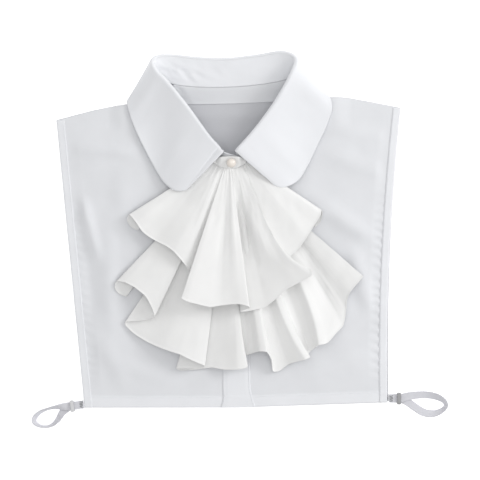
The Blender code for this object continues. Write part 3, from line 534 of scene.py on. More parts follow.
def path_length(points):
    """Length along a line of points at each of them."""
    steps = np.linalg.norm(np.diff(points, axis=0), axis=1)
    return np.concatenate([[0.0], np.cumsum(steps)])


def read_line(places, lengths, points):
    """A line read at places on the scale of lengths, which has one value for each of its points."""
    return np.stack([np.interp(places, lengths, axis) for axis in points.T], axis=-1)


def rounded(samples, half_width, half_height, power):
    """Closed rounded rectangle: sign(cos t)|cos t|^p across and sign(sin t)|sin t|^p up."""
    turn = np.linspace(0.0, 2 * math.pi, samples + 1)[:-1]
    wave = np.stack([np.cos(turn), np.sin(turn)], axis=-1)
    return np.sign(wave) * np.abs(wave) ** power * (half_width, half_height)


def quads(rows, columns, closed_rows=False, closed_columns=False):
    """Faces between neighbouring points of a grid, which may close on itself along either way."""
    index = np.arange(rows * columns).reshape(rows, columns)
    ahead, beside = np.roll(index, -1, axis=0), np.roll(index, -1, axis=1)
    faces = np.stack([index, beside, np.roll(ahead, -1, axis=1), ahead], axis=-1)
    return faces[:None if closed_rows else -1, :None if closed_columns else -1].reshape(-1, 4)


def smooth_mesh(name, points, faces):
    """Smooth-shaded mesh of points in millimetres."""
    mesh = bpy.data.meshes.new(name)
    mesh.from_pydata((points.reshape(-1, 3) * MM).tolist(), [], faces)
    mesh.shade_smooth()
    return mesh


def tube_mesh(name, tubes):
    """Mesh of tubes, each made of closed rings of points with a face over its two end rings."""
    count, rows, columns = tubes.shape[:3]
    first = np.arange(count)[:, None, None] * rows * columns
    ring = np.arange(columns)
    ends = np.stack([ring[::-1], ring + (rows - 1) * columns]) + first
    sides = quads(rows, columns, closed_columns=True) + first
    faces = sides.reshape(-1, 4).tolist() + ends.reshape(-1, columns).tolist()
    return smooth_mesh(name, tubes, faces)


def lay_out(mesh, layout):
    """UV map in metres of cloth, from the (u, v) of each point in millimetres."""
    corners = np.zeros(len(mesh.loops), np.int32)
    mesh.loops.foreach_get("vertex_index", corners)
    places = layout.reshape(-1, 2)[corners] * MM
    mesh.uv_layers.new(name="cloth").data.foreach_set("uv", places.ravel())


def grid_mesh(name, grid, layout=None, doubled=1.0):
    """Mesh of a grid of points, with a UV map and at each point how far the cloth lies in two layers,
    where a value below 0 is painted shade.

    The map's U is the length along the grid's rows and V along its columns, unless a layout of
    (u, v) is given for each point.
    """
    rows, columns = grid.shape[:2]
    mesh = smooth_mesh(name, grid, quads(rows, columns).tolist())
    if layout is None:
        u, v = path_length(grid[rows // 2]), path_length(grid[:, columns // 2])
        layout = np.stack(np.meshgrid(u, v), axis=-1)
    lay_out(mesh, layout)
    layers = (doubled + np.zeros((rows, columns))).astype(np.float32)
    mesh.attributes.new("doubled", "FLOAT", "POINT").data.foreach_set("value", layers.ravel())
    return mesh


def add_object(name, data):
    """New object of a mesh, light or camera, in the scene."""
    made = bpy.data.objects.new(name, data)
    bpy.context.scene.collection.objects.link(made)
    return made


def add_piece(name, mesh, material, node):
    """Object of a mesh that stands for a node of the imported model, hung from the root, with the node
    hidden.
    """
    made = add_object(name, mesh)
    mesh.materials.append(material)
    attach(made, "root")
    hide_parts(node)
    return made


def add_cloth(name, grid, wall, material, layout=None, doubled=1.0):
    """Sheet through a grid of points, thickened away from its outer side."""
    mesh = grid_mesh(name + "_cloth", grid, layout, doubled)
    sheet = add_piece(name + "_cloth", mesh, material, name)
    thickness = sheet.modifiers.new("Wall", "SOLIDIFY")
    thickness.thickness = wall
    thickness.offset = -1.0
    return sheet


def shade(colour, amount):
    """A colour with four parts, made lighter or darker by an amount."""
    return tuple(min(1.0, part * amount) for part in colour) + (1.0,)


class NodeSketch:
    """Short way to add and join shader nodes in one material."""

    def __init__(self, name):
        self.material = bpy.data.materials.new(name)
        self.material.use_nodes = True
        self.nodes = self.material.node_tree.nodes
        self.links = self.material.node_tree.links
        self.shader = self.nodes["Principled BSDF"]

    def add(self, kind, **values):
        """New node; a value that is a socket is linked and any other is set."""
        node = self.nodes.new("ShaderNode" + kind)
        for key, value in values.items():
            if key in node.inputs:
                self.put(node.inputs[key], value)
            else:
                setattr(node, key, value)
        return node

    def put(self, socket, value):
        """Links a socket to another, or sets its value."""
        if isinstance(value, bpy.types.NodeSocket):
            self.links.new(value, socket)
        else:
            socket.default_value = value

    def calc(self, operation, *values):
        """Result of one arithmetic step."""
        node = self.nodes.new("ShaderNodeMath")
        node.operation = operation
        for socket, value in zip(node.inputs, values):
            self.put(socket, value)
        return node.outputs[0]

    def threads(self, coordinate, pitch):
        """Sine that repeats at a pitch in metres along a coordinate."""
        return self.calc("SINE", self.calc("MULTIPLY", coordinate, 2 * math.pi / pitch))

    def noise(self, place, scale, detail):
        """Cloudy noise between 0 and 1."""
        return self.add("TexNoise", Vector=place, Scale=scale, Detail=detail).outputs["Fac"]

    def blend(self, share, low, high, span=(0.0, 1.0)):
        """Colour that changes from low to high while a share passes over a span."""
        ramp = self.add("ValToRGB", Fac=share)
        for stop, place, colour in zip(ramp.color_ramp.elements, span, (low, high)):
            stop.position = place
            stop.color = colour
        return ramp.outputs["Color"]

    def bump(self, height, strength, distance):
        """Normal that a height gives, in metres where its strength is one."""
        return self.add("Bump", Height=height, Strength=strength, Distance=distance).outputs["Normal"]

    def finish(self, **values):
        """Sets or links the shader's sockets, and returns the material."""
        for key, value in values.items():
            self.put(self.shader.inputs[key.replace("_", " ")], value)
        return self.material


def cloth_material(name):
    """Woven cloth: crossing threads, slubs along both ways, and a faint unevenness of colour.
    Single cloth looks a little darker than cloth in two layers, and a value below single cloth is painted
    shade."""
    found = bpy.data.materials.get(name)
    if found:
        return found
    setting, pitch, depth, roughness, sheen = CLOTHS[name]
    colour = tuple(getattr(settings()[1], setting))
    sketch = NodeSketch(name)
    place = sketch.add("UVMap", uv_map="cloth").outputs["UV"]
    parts = sketch.add("SeparateXYZ", Vector=place)
    weave = sketch.calc("MULTIPLY", *(sketch.threads(parts.outputs[axis], pitch) for axis in "XY"))
    slubs = []
    for scale in ((160.0, 2200.0, 1.0), (2200.0, 160.0, 1.0)):
        stretched = sketch.add("Mapping", Vector=place, Scale=scale).outputs[0]
        slubs.append(sketch.noise(stretched, 1.0, 2.0))
    height = sketch.calc("ADD", sketch.calc("MULTIPLY", weave, 0.25), sketch.calc("ADD", *slubs))
    cloud = sketch.noise(place, 30.0, 3.0)
    tone = sketch.blend(cloud, shade(colour, 0.975), shade(colour, 1.015), (0.3, 0.7))
    # Tone from the layers of the cloth; a value below single cloth, as on the neck facing, is painted
    # shade
    doubled = sketch.add("Attribute", attribute_name="doubled").outputs["Fac"]
    whiter = sketch.calc("MULTIPLY_ADD", doubled, 1 - SINGLE_TONE, SINGLE_TONE)
    cloth = sketch.add("VectorMath", operation="SCALE", Vector=tone, Scale=whiter)
    return sketch.finish(
        Base_Color=cloth.outputs["Vector"], Roughness=roughness,
        Normal=sketch.bump(height, 0.6, depth), Sheen_Weight=sheen, Sheen_Roughness=0.5,
        Specular_IOR_Level=0.2)


def drape(x, y, shape):
    """Rise of a panel where it lies on the back half of the collar: an S curve in x and in y."""
    lift, left, right, upward = shape
    return lift * between(x, left, right) * smooth(y, *upward)


def fold_height(side, x, y):
    """Soft folds of a front panel, each a ridge exp(-(d/w)^2) that dies out at its ends."""
    height = np.zeros_like(x)
    for x0, y0, x1, y1, width, rise in PANEL_FOLDS[side]:
        length = math.hypot(x1 - x0, y1 - y0)
        along = ((x - x0) * (x1 - x0) + (y - y0) * (y1 - y0)) / length ** 2
        off = ((x - x0) * (y1 - y0) - (y - y0) * (x1 - x0)) / length
        height += rise * between(along, *FOLD_ENDS) * np.exp(-(off / width) ** 2)
    return height


def front_top_edge(side, shares):
    """Top edge of a front panel, the shoulder and then the neckline, read at shares of its length."""
    last = LEAF_FIRST if side == "left" else len(COLLAR_RING) - 1
    neck = curve(COLLAR_RING, np.linspace(NECK_POINT[side], last, EDGE_SAMPLES))[:, 0:2]
    neck[-1] = (CENTRE_NECK[0] - INWARD[side] * CENTRE_GAP / 2, CENTRE_NECK[1])
    shoulder = whole_curve(SHOULDER_LINE[side] + (tuple(neck[0]),), EDGE_SAMPLES)
    path = np.vstack([shoulder[:-1], neck])
    length = path_length(path)
    return read_line(shares * length[-1], length, path)


def front_surface(side, columns):
    """Outer face of a front panel: straight lines from the hem to the top edge, with the drape,
    the folds, a turned-up hem and puckers along the side seam added to the height."""
    across = np.linspace(0.0, 1.0, columns)
    top = front_top_edge(side, across)
    centre = np.array(CENTRE_HEM) - (INWARD[side] * CENTRE_GAP / 2, 0.0)
    hem = np.array(HEM_CORNER[side]) + (centre - HEM_CORNER[side]) * across[:, None]
    up = np.linspace(0.0, 1.0, FRONT_ROWS)[:, None]
    x = hem[:, 0] + (top[:, 0] - hem[:, 0]) * up + SIDE_BOW[side] * 4 * up * (1 - up) * (1 - across)
    y = hem[:, 1] + (top[:, 1] - hem[:, 1]) * up
    from_side, from_centre = np.abs(x - x[:, :1]), np.abs(x - x[:, -1:])
    inside = smooth(from_side, *SIDE_CLEAR) * smooth(from_centre, *CENTRE_CLEAR)
    inside = inside * between(up, *PANEL_FADE)
    folds = PANEL_CROWN + fold_height(side, x, y)
    for number, (size, rise) in enumerate(PANEL_WAVES):
        folds = folds + rise * uneven(x, y, size, SEED[side] + number)
    waver = PUCKER_WAVER * uneven(x, y, PUCKER_SIZE, SEED[side] + len(PANEL_WAVES))
    pucker = SEAM_PUCKER[side] * np.sin(y / PUCKER_PITCH + waver)
    pucker = pucker * between(from_side, *PUCKER_SPAN) * between(up, *PUCKER_RISE)
    turned_up = HEM_STEP * (1 - smooth(y - hem[:, 1], HEM_DEPTH - 0.5, HEM_DEPTH + 0.5))
    z = FRONT_HEIGHT + drape(x, y, FRONT_DRAPE) + inside * folds + pucker + turned_up
    return np.stack([x, y, z], axis=-1)


def lay_on_fronts(grid_xy, lift):
    """Points at (x, y) on the fronts' plain surface, lifted off it."""
    x, y = grid_xy[..., 0], grid_xy[..., 1]
    hem = np.array((HEM_CORNER["left"], CENTRE_HEM, HEM_CORNER["right"]))
    above_hem = y - np.interp(x, hem[:, 0], hem[:, 1])
    step = HEM_STEP * (1 - smooth(above_hem, HEM_DEPTH - 1.5, HEM_DEPTH + 1.5))
    z = FRONT_HEIGHT + drape(x, y, FRONT_DRAPE) + step + lift
    return np.stack([x, y, z], axis=-1)


def back_surface(wall):
    """Outer face of the back panel: straight lines from the hem to the shoulders and the neck, which
    it rises to."""
    left, right = (whole_curve(SHOULDER_LINE[side], SHOULDER_COLUMNS) for side in INWARD)
    neck = curve(COLLAR_RING, np.linspace(*BACK_NECK, NECK_COLUMNS))[:, 0:3]
    top = np.vstack([left, neck[:, :2], right[::-1]]) - (0.0, BACK_DROP)
    across = np.linspace(0.0, 1.0, len(top))
    rise = np.zeros(len(top))
    from_shoulders = smooth(np.sin(np.linspace(0.0, math.pi, NECK_COLUMNS)), *NECK_FADE)
    rise[SHOULDER_COLUMNS:-SHOULDER_COLUMNS] = (neck[:, 2] - BACK_HEIGHT - BACK_DRAPE[0]) * from_shoulders
    hem_left, hem_right = (np.array(HEM_CORNER[side]) for side in INWARD)
    width = hem_right - hem_left - (2 * BACK_INSET, 0.0)
    hem = hem_left + (BACK_INSET, BACK_INSET) + width * across[:, None]
    hem[-1, 0] += BACK_INSET + CORNER_TAB
    down = (np.linspace(1.0, 0.0, BACK_ROWS) ** BACK_CROWDING)[:, None]
    x = top[:, 0] + (hem[:, 0] - top[:, 0]) * down
    y = top[:, 1] + (hem[:, 1] - top[:, 1]) * down
    bow = SIDE_BOW["right"] * 4 * down * (1 - down) * across ** 3
    near_neck = 1 - smooth(down * np.linalg.norm(hem - top, axis=1), 0.0, NECK_SLOPE)
    z = wall + drape(x, y, BACK_DRAPE) + rise * near_neck
    return np.stack([x + bow, y, z], axis=-1)


class MakePanels(bpy.types.Operator):
    """Back panel, front panels, side bands and placket."""

    bl_idname = "collar.make_panels"
    bl_label = "Make Panels"

    def execute(self, context):
        wall = settings()[0].shirt_wall
        cotton = cloth_material("shirt_cotton")
        lift = LAY + wall / MM
        self.make_back(wall, cotton, lift)
        for side, flat, area in (("left", (0.182, 0.308), 0.044), ("right", (0.168, 0.310), 0.042)):
            front, strip = self.make_front(side, wall, cotton, lift)
        self.make_placket(wall, cotton, lift)
        return {"FINISHED"}

    def make_back(self, wall, cotton, lift):
        """Back panel, and the facing that lies on it inside the neck."""
        grid = back_surface(wall / MM)
        # The back panel's cloth carries painted shade for the shadow inside the neck
        back = add_cloth("back_panel", grid, wall, cloth_material("inner_cotton"))
        first, last = (SHOULDER_COLUMNS + int(NECK_COLUMNS * share) for share in FACING_SPAN)
        edge = np.array(FACING_EDGE)
        columns = []
        for line in grid[:, first:last].transpose(1, 0, 2):
            foot = np.interp(line[-1, 0], edge[:, 0], edge[:, 1])
            places = np.linspace(foot, line[-1, 1] + FACING_LAP, FACING_ROWS)
            column = read_line(places, line[:, 1], line)
            column[:, 1] = places
            columns.append(column)
        face = np.stack(columns, axis=1) + (0.0, 0.0, lift)
        x, y = face[..., 0], face[..., 1]
        size, rise, slant, fade = FACING_CREASES
        face[..., 2] += rise * (1 - smooth(x, *fade)) * uneven(x + slant * y, y, size, SEED["facing"])
        # Painted shade: the facing's tone is set below single cloth for the shadow inside the neck
        facing = add_cloth("neck_facing", face, wall, cotton, doubled=FACING_PAINTED_SHADE)

    def make_front(self, side, wall, cotton, lift):
        """Front panel, and the folded band on its side edge."""
        grid = front_surface(side, FRONT_COLUMNS)
        shares = np.linspace(0.0, 1.0, BAND_COLUMNS)[:, None]
        band = lay_on_fronts(grid[:, :1, :2] + shares * (INWARD[side] * SIDE_BAND, 0.0), lift)
        band[..., 2] -= EDGE_ROLL * (1 - between(shares[:, 0], *BAND_FLAT))
        if side == "right":
            grid, band = grid[:, ::-1], band[:, ::-1]
        hem = 1 - smooth(grid[..., 1] - grid[:1, :, 1], HEM_DEPTH - 0.6, HEM_DEPTH + 0.6)
        front = add_cloth(f"front_{side}", grid, wall, cotton, grid[..., :2], hem)
        return front, add_cloth(f"side_band_{side}", band, wall, cotton, band[..., :2])

    def make_placket(self, wall, cotton, lift):
        """Placket: a straight band that flares at the hem, with its long edges rolled down."""
        edges = whole_curve(PLACKET_EDGES, PLACKET_ROWS)
        share = np.linspace(0.0, 1.0, PLACKET_COLUMNS)
        x = edges[:, 1:2] + (edges[:, 2:3] - edges[:, 1:2]) * share
        y = edges[:, 0:1] + 0 * share
        grid = lay_on_fronts(np.stack([x, y], axis=-1), lift)
        size, rise = PLACKET_PUFF
        waves = 1 + uneven(x, y, size, SEED["placket"])
        grid[..., 2] += rise * between(share, *PLACKET_SWELLS) * waves
        grid[..., 2] -= EDGE_ROLL * (1 - between(share, *PLACKET_FLAT))
        placket = add_cloth("placket", grid, wall, cotton, grid[..., :2])


def ring_lines(first):
    """Seam, fold and free edge of the collar ring, from a station to the last one."""
    last = len(COLLAR_RING) - 1
    ring = curve(COLLAR_RING, np.linspace(first, last, (last - first) * RING_SAMPLES + 1))
    return ring[:, 0:3], ring[:, 3:6], ring[:, 6:9]


def fold_axes(seam, fold):
    """Directions at the collar's fold: up the stand square to the fold, and out from the stand."""
    along = unit(np.gradient(fold, axis=0))
    up = fold - seam
    up = unit(up - np.sum(up * along, axis=1, keepdims=True) * along)
    return up, unit(np.cross(up, along))


class MakeCollar(bpy.types.Operator):
    """Collar stand and turned-down leaf."""

    bl_idname = "collar.make_collar"
    bl_label = "Make Collar"

    def execute(self, context):
        sizes = settings()[0]
        cotton = cloth_material("shirt_cotton")
        stand = add_cloth("collar_stand", self.stand_surface(), sizes.shirt_wall, cotton)
        leaf = add_cloth("collar_leaf", self.leaf_surface(), sizes.collar_wall, cotton)
        return {"FINISHED"}

    def stand_surface(self):
        """Stand: straight lines from the neckline seam up to the fold of the collar, with wrinkles
        that are higher where it is crushed."""
        seam, fold, _ = ring_lines(0)
        up_way, out = fold_axes(seam, fold)
        up = np.linspace(0.0, 1.0, STAND_ROWS)[:, None, None]
        grid = seam + (fold - FOLD_RADIUS * up_way - seam) * up
        station = np.linspace(0, len(COLLAR_RING) - 1, len(seam))
        rise = STAND_DEPTH * up[..., 0]
        size, slant, plain, more = STAND_WRINKLES
        height = (plain + more * between(station, *STAND_CRUSHED)) * np.sin(math.pi * up[..., 0])
        along = path_length(fold) + slant * rise
        waves = height * uneven(along, rise + 0 * station, size, SEED["stand"])
        return grid - out * waves[..., None]

    def leaf_surface(self):
        """Leaf: part of a circle over the stand's top, then straight lines to the free edge, which
        sag where the edge lies low.

        The circle's turn ends where its tangent points at the free edge.
        """
        seam, fold, edge = ring_lines(LEAF_FIRST)
        up, out = fold_axes(seam, fold)
        centre = fold - FOLD_RADIUS * up + FOLD_RADIUS * out
        back = -np.sum((edge - centre) * out, axis=1)
        rise = np.sum((edge - centre) * up, axis=1)
        turn = np.arctan2(rise, back) % (2 * math.pi)
        turn = turn - np.arccos(FOLD_RADIUS / np.hypot(back, rise))
        angle = np.linspace(0.0, 1.0, ROLL_ROWS)[:, None, None] * turn[None, :, None]
        roll = centre + FOLD_RADIUS * (up * np.sin(angle) - out * np.cos(angle))
        share = np.linspace(0.0, 1.0, LEAF_ROWS)[1:, None]
        flat = roll[-1] + (edge - roll[-1]) * share[..., None]
        settle = 1 + SETTLE * (1 - smooth(edge[:, 2], *SETTLE_HEIGHTS))
        height = edge[:, 2] + (roll[-1][:, 2] - edge[:, 2]) * (1 - share) ** settle
        size, rise = LEAF_WAVE
        soft = rise * uneven(flat[..., 0], flat[..., 1], size, SEED["leaf"]) * np.sin(math.pi * share)
        flat[..., 2] = np.maximum(height, 0.0) + soft * smooth(edge[:, 2], *LEAF_STANDING)
        return np.vstack([roll, flat])


def tier_surface(tier):
    """Outer face of a jabot tier: folds that fan out from a gathered head to the hem.

    Each column is a straight line from its even share of the head's ellipse to its point of the
    hem, bowed sideways. With s = 1 at the hem, its height leaves the mean slope by s^q of its
    fold's height, and each crease adds h exp(-(a/w)^2 - (b/l)^2).
    """
    table, half_width, depth, head_rise, head_height, drop, mean_height, deepening, _ = TIERS[tier]
    places = np.linspace(0, len(table) - 1, (len(table) - 1) * TIER_SAMPLES + 1)
    angle, reach, height, bow = curve(table, places, HEM_EASE).T
    radians = np.radians(angle)
    points = np.stack([reach * np.sin(radians), -reach * np.cos(radians), height], axis=-1)
    length = path_length(points)
    fan = np.radians(angle.min() + (angle.max() - angle.min()) * length / length[-1])
    out = 1 - np.linspace(0.0, 1.0, TIER_ROWS)[:, None] ** TIER_CROWDING
    bowed = bow * BOW_PEAK * out ** 2 * (1 - out)
    x = half_width * np.sin(fan) * (1 - out) + points[:, 0] * out + bowed * np.cos(radians)
    y = (head_rise - depth * np.cos(fan)) * (1 - out) + points[:, 1] * out + bowed * np.sin(radians)
    head = head_height - drop * np.sin(fan) ** 2
    z = head + (mean_height - head) * out ** RISE_POWER + (height - mean_height) * out ** deepening
    for row, middle, half_rows, half_length, rise in CREASES[tier]:
        z = z + rise * np.exp(-((places - row) / half_rows) ** 2 - ((out - middle) / half_length) ** 2)
    high, size, stretch, reaching = GATHERS
    gathers = high * uneven(length, stretch * out, size, SEED["gathers"]) * np.exp(-out / reaching)
    z = z + gathers * smooth(out, 0.0, 0.04)
    along = length + WAVE_SLANT * reach * out
    for size, rise in SOFT_WAVES:
        z = z + rise * uneven(along, reach * out, size, SEED["tiers"]) * smooth(out, 0.1, 0.4)
    z = z + HEM_ROLL[0] * np.exp(-((1 - out) * reach / HEM_ROLL[1]) ** 2)
    layout = np.stack([length + 0 * out, (1 - out) * reach], axis=-1)
    return np.stack([x + JABOT_CENTRE[0], y + JABOT_CENTRE[1], z], axis=-1), layout


def tab_height(y):
    """Height of the tab's outer face, and the angle in radians at which it leans."""
    slope = (TAB_TOP[1] - TAB_FOOT[1]) / (TAB_TOP[0] - TAB_FOOT[0])
    return TAB_FOOT[1] + slope * (y - TAB_FOOT[0]), math.atan(slope)


class MakeJabot(bpy.types.Operator):
    """Two gathered tiers and the tab over their head."""

    bl_idname = "collar.make_jabot"
    bl_label = "Make Jabot"

    def execute(self, context):
        wall = settings()[0].jabot_wall
        crepe = cloth_material("jabot_crepe")
        for tier in TIERS:
            grid, layout = tier_surface(tier)
            cloth = add_cloth(f"jabot_{tier}_tier", grid, wall, crepe, layout)
        tab = add_cloth("jabot_tab", self.tab_surface(), wall, crepe)
        return {"FINISHED"}

    def tab_surface(self):
        """Tab: a slope from a lower edge that sinks into the gathers to an arched upper edge, with
        the gathers' ridges running up it and a hollow round the pearl."""
        across = np.linspace(-1.0, 1.0, TAB_COLUMNS)
        up = np.linspace(0.0, 1.0, TAB_ROWS)[:, None]
        foot_rise, top_drop, foot_sink, top_sink = TAB_ENDS
        x = TAB_MIDDLE + TAB_HALF_WIDTH * across + 0 * up
        foot = TAB_FOOT[0] + foot_rise * across ** 2
        y = foot + (TAB_TOP[0] - top_drop * across ** 2 - foot) * up
        sink = (foot_sink + (top_sink - foot_sink) * up) * smooth(np.abs(across), *TAB_SINKS)
        rise, size = TAB_RIDGES
        ridges = rise * uneven(x, 0.15 * y, size, SEED["tab"]) * smooth(1 - up, 0.1, 0.6)
        around = np.hypot(x - PEARL_PLACE[0], y - PEARL_PLACE[1]) - PEARL_RADIUS
        depth, width = PEARL_HOLLOW
        hollow = depth * np.exp(-(around / width) ** 2)
        z = tab_height(y)[0] - TAB_DIP * (1 - up) ** 2 - sink + ridges - hollow
        return np.stack([x, y, z], axis=-1)


class MakeButton(bpy.types.Operator):
    """Pearl button on the tab."""

    bl_idname = "collar.make_button"
    bl_label = "Make Button"

    def execute(self, context):
        """Half pearl: an ellipsoid of latitude and longitude, cut flat at the back and tilted."""
        x, y = rounded(PEARL_COLUMNS, PEARL_RADIUS, PEARL_RADIUS, 1.0).T
        lift = np.linspace(-math.pi / 2, math.pi / 2, PEARL_ROWS)[:, None]
        x, y = x * np.cos(lift), y * np.cos(lift)
        z = np.maximum(PEARL_RISE * np.sin(lift) + 0 * x, -PEARL_BACK)
        height, tilt = tab_height(PEARL_PLACE[1])
        height += (PEARL_BACK + PEARL_GAP) / math.cos(tilt)
        points = np.stack([x, y * math.cos(tilt) - z * math.sin(tilt),
                           y * math.sin(tilt) + z * math.cos(tilt)], axis=-1) + (*PEARL_PLACE, height)
        add_piece("pearl_dome", tube_mesh("pearl_button", points[None]), self.nacre(), "pearl_button")
        return {"FINISHED"}

    def nacre(self):
        """Pearl lacquer: cream that darkens at the rim, under a clear coat."""
        sketch = NodeSketch("pearl_nacre")
        colour = tuple(settings()[1].pearl)
        facing = sketch.add("LayerWeight", Blend=0.35).outputs["Facing"]
        tone = sketch.blend(facing, shade(colour, 1.12), shade(colour, 0.72))
        return sketch.finish(Base_Color=tone, Roughness=0.28, Coat_Weight=0.8,
                             Coat_Roughness=0.08, Sheen_Weight=0.2, Specular_IOR_Level=0.6)


class MakeStraps(bpy.types.Operator):
    """Elastic strap loops and their sliders."""

    bl_idname = "collar.make_straps"
    bl_label = "Make Straps"

    def execute(self, context):
        webbing = self.webbing()
        for side in INWARD:
            self.make_strap(side, webbing)
            self.make_slider(side)
        return {"FINISHED"}

    def make_strap(self, side, webbing):
        """Strap: a thin ribbed section carried along its route and turned to each row's tilt."""
        table = STRAP_ROUTE[side]
        x, y, tilt, lift = whole_curve(table, (len(table) - 1) * STRAP_SAMPLES + 1).T
        tilt = np.radians(tilt)
        z = np.maximum(lift, 0.0) + STRAP_WIDTH / 2 * np.sin(tilt) + STRAP_WALL / 2 * np.cos(tilt)
        line = np.stack([x, y, z], axis=-1)
        travel = unit(np.gradient(line, axis=0) * (1.0, 1.0, 0.0))
        square = INWARD[side] * np.stack([travel[:, 1], -travel[:, 0], 0 * x], axis=-1)
        upward = np.array((0.0, 0.0, 1.0))
        cos, sin = np.cos(tilt)[:, None], np.sin(tilt)[:, None]
        wide, thick = square * cos + upward * sin, upward * cos - square * sin
        section = self.section()
        if side == "left":
            section = section[::-1]
        across, over = section[:, :1], section[:, 1:]
        ring = line[:, None] + wide[:, None] * across + thick[:, None] * over
        mesh = tube_mesh(f"strap_{side}", ring[None])
        along = path_length(line)
        lay_out(mesh, np.stack(np.broadcast_arrays(along[:, None], section[:, 0]), axis=-1))
        strap = add_piece(f"strap_{side}_webbing", mesh, webbing, f"strap_{side}")

    def section(self):
        """Webbing's section: flat faces with low ribs h cos(8 pi x), and rounded edges."""
        flat = np.linspace(-STRAP_FLAT, STRAP_FLAT, RIB_SAMPLES)
        rib = 1 - STRAP_RIB + STRAP_RIB * np.cos(flat * 8 * math.pi)
        across = np.concatenate([flat, [1.0], flat[::-1], [-1.0]])
        over = np.concatenate([-rib, [0.0], rib[::-1], [0.0]])
        return np.stack([across * STRAP_WIDTH / 2, over * STRAP_WALL / 2], axis=-1)

    def make_slider(self, side):
        """Slider: a rounded rectangular frame, its bar's section carried round the rectangle."""
        half_width, half_height = (SLIDER_WIDTH - SLIDER_BAR) / 2, (SLIDER_HEIGHT - SLIDER_BAR) / 2
        ring = rounded(SLIDER_TURNS, half_width, half_height, 0.28)
        ahead = unit(np.roll(ring, -1, axis=0) - np.roll(ring, 1, axis=0))
        bar = rounded(BAR_TURNS, SLIDER_BAR / 2, SLIDER_LENGTH / 2, 0.5)
        x0, y0, angle = SLIDER_PLACE[side]
        cos, sin = math.cos(math.radians(angle)), math.sin(math.radians(angle))
        along = bar[:, 1] + 0 * ring[:, :1]
        wide = ring[:, :1] + ahead[:, 1:] * bar[:, 0]
        high = ring[:, 1:] - ahead[:, :1] * bar[:, 0] + SLIDER_HEIGHT / 2
        points = np.stack([x0 + along * cos - wide * sin, y0 + along * sin + wide * cos, high], axis=-1)
        faces = quads(SLIDER_TURNS, BAR_TURNS, closed_rows=True, closed_columns=True)[:, (0, 3, 2, 1)]
        mesh = smooth_mesh(f"slider_{side}", points, faces.tolist())
        add_piece(f"slider_{side}_frame", mesh, self.plastic(side), f"slider_{side}")

    def webbing(self):
        """Ribbed elastic: lengthwise cords, fine cross threads and darker gaps between the cords."""
        sketch = NodeSketch("elastic_webbing")
        colour = tuple(settings()[1].elastic)
        place = sketch.add("UVMap", uv_map="cloth").outputs["UV"]
        parts = sketch.add("SeparateXYZ", Vector=place)
        cords = sketch.threads(parts.outputs["Y"], CORD_PITCH)
        picks = sketch.threads(parts.outputs["X"], PICK_PITCH)
        height = sketch.calc("ADD", cords, sketch.calc("MULTIPLY", picks, 0.3))
        share = sketch.calc("MULTIPLY_ADD", cords, 0.5, 0.5)
        tone = sketch.blend(share, shade(colour, 0.88), shade(colour, 1.05))
        return sketch.finish(Base_Color=tone, Roughness=0.75, Normal=sketch.bump(height, 0.8, 0.0001),
                             Sheen_Weight=0.1)

    def plastic(self, side):
        """Moulded plastic with a faint flow pattern; on the right slider its darker grey is painted
        shade.
        """
        grey = SLIDER_GREY_AND_SHADE[side]
        sketch = NodeSketch(f"slider_plastic_{side}")
        cloud = sketch.noise(sketch.add("TexCoord").outputs["Object"], 400.0, 2.0)
        darker = (grey * 0.95, grey * 0.95, grey * 0.97, 1.0)
        tone = sketch.blend(cloud, darker, (grey, grey, grey * 1.02, 1.0))
        return sketch.finish(Base_Color=tone, Roughness=0.3, Normal=sketch.bump(cloud, 0.1, 0.0001),
                             Coat_Weight=0.3)


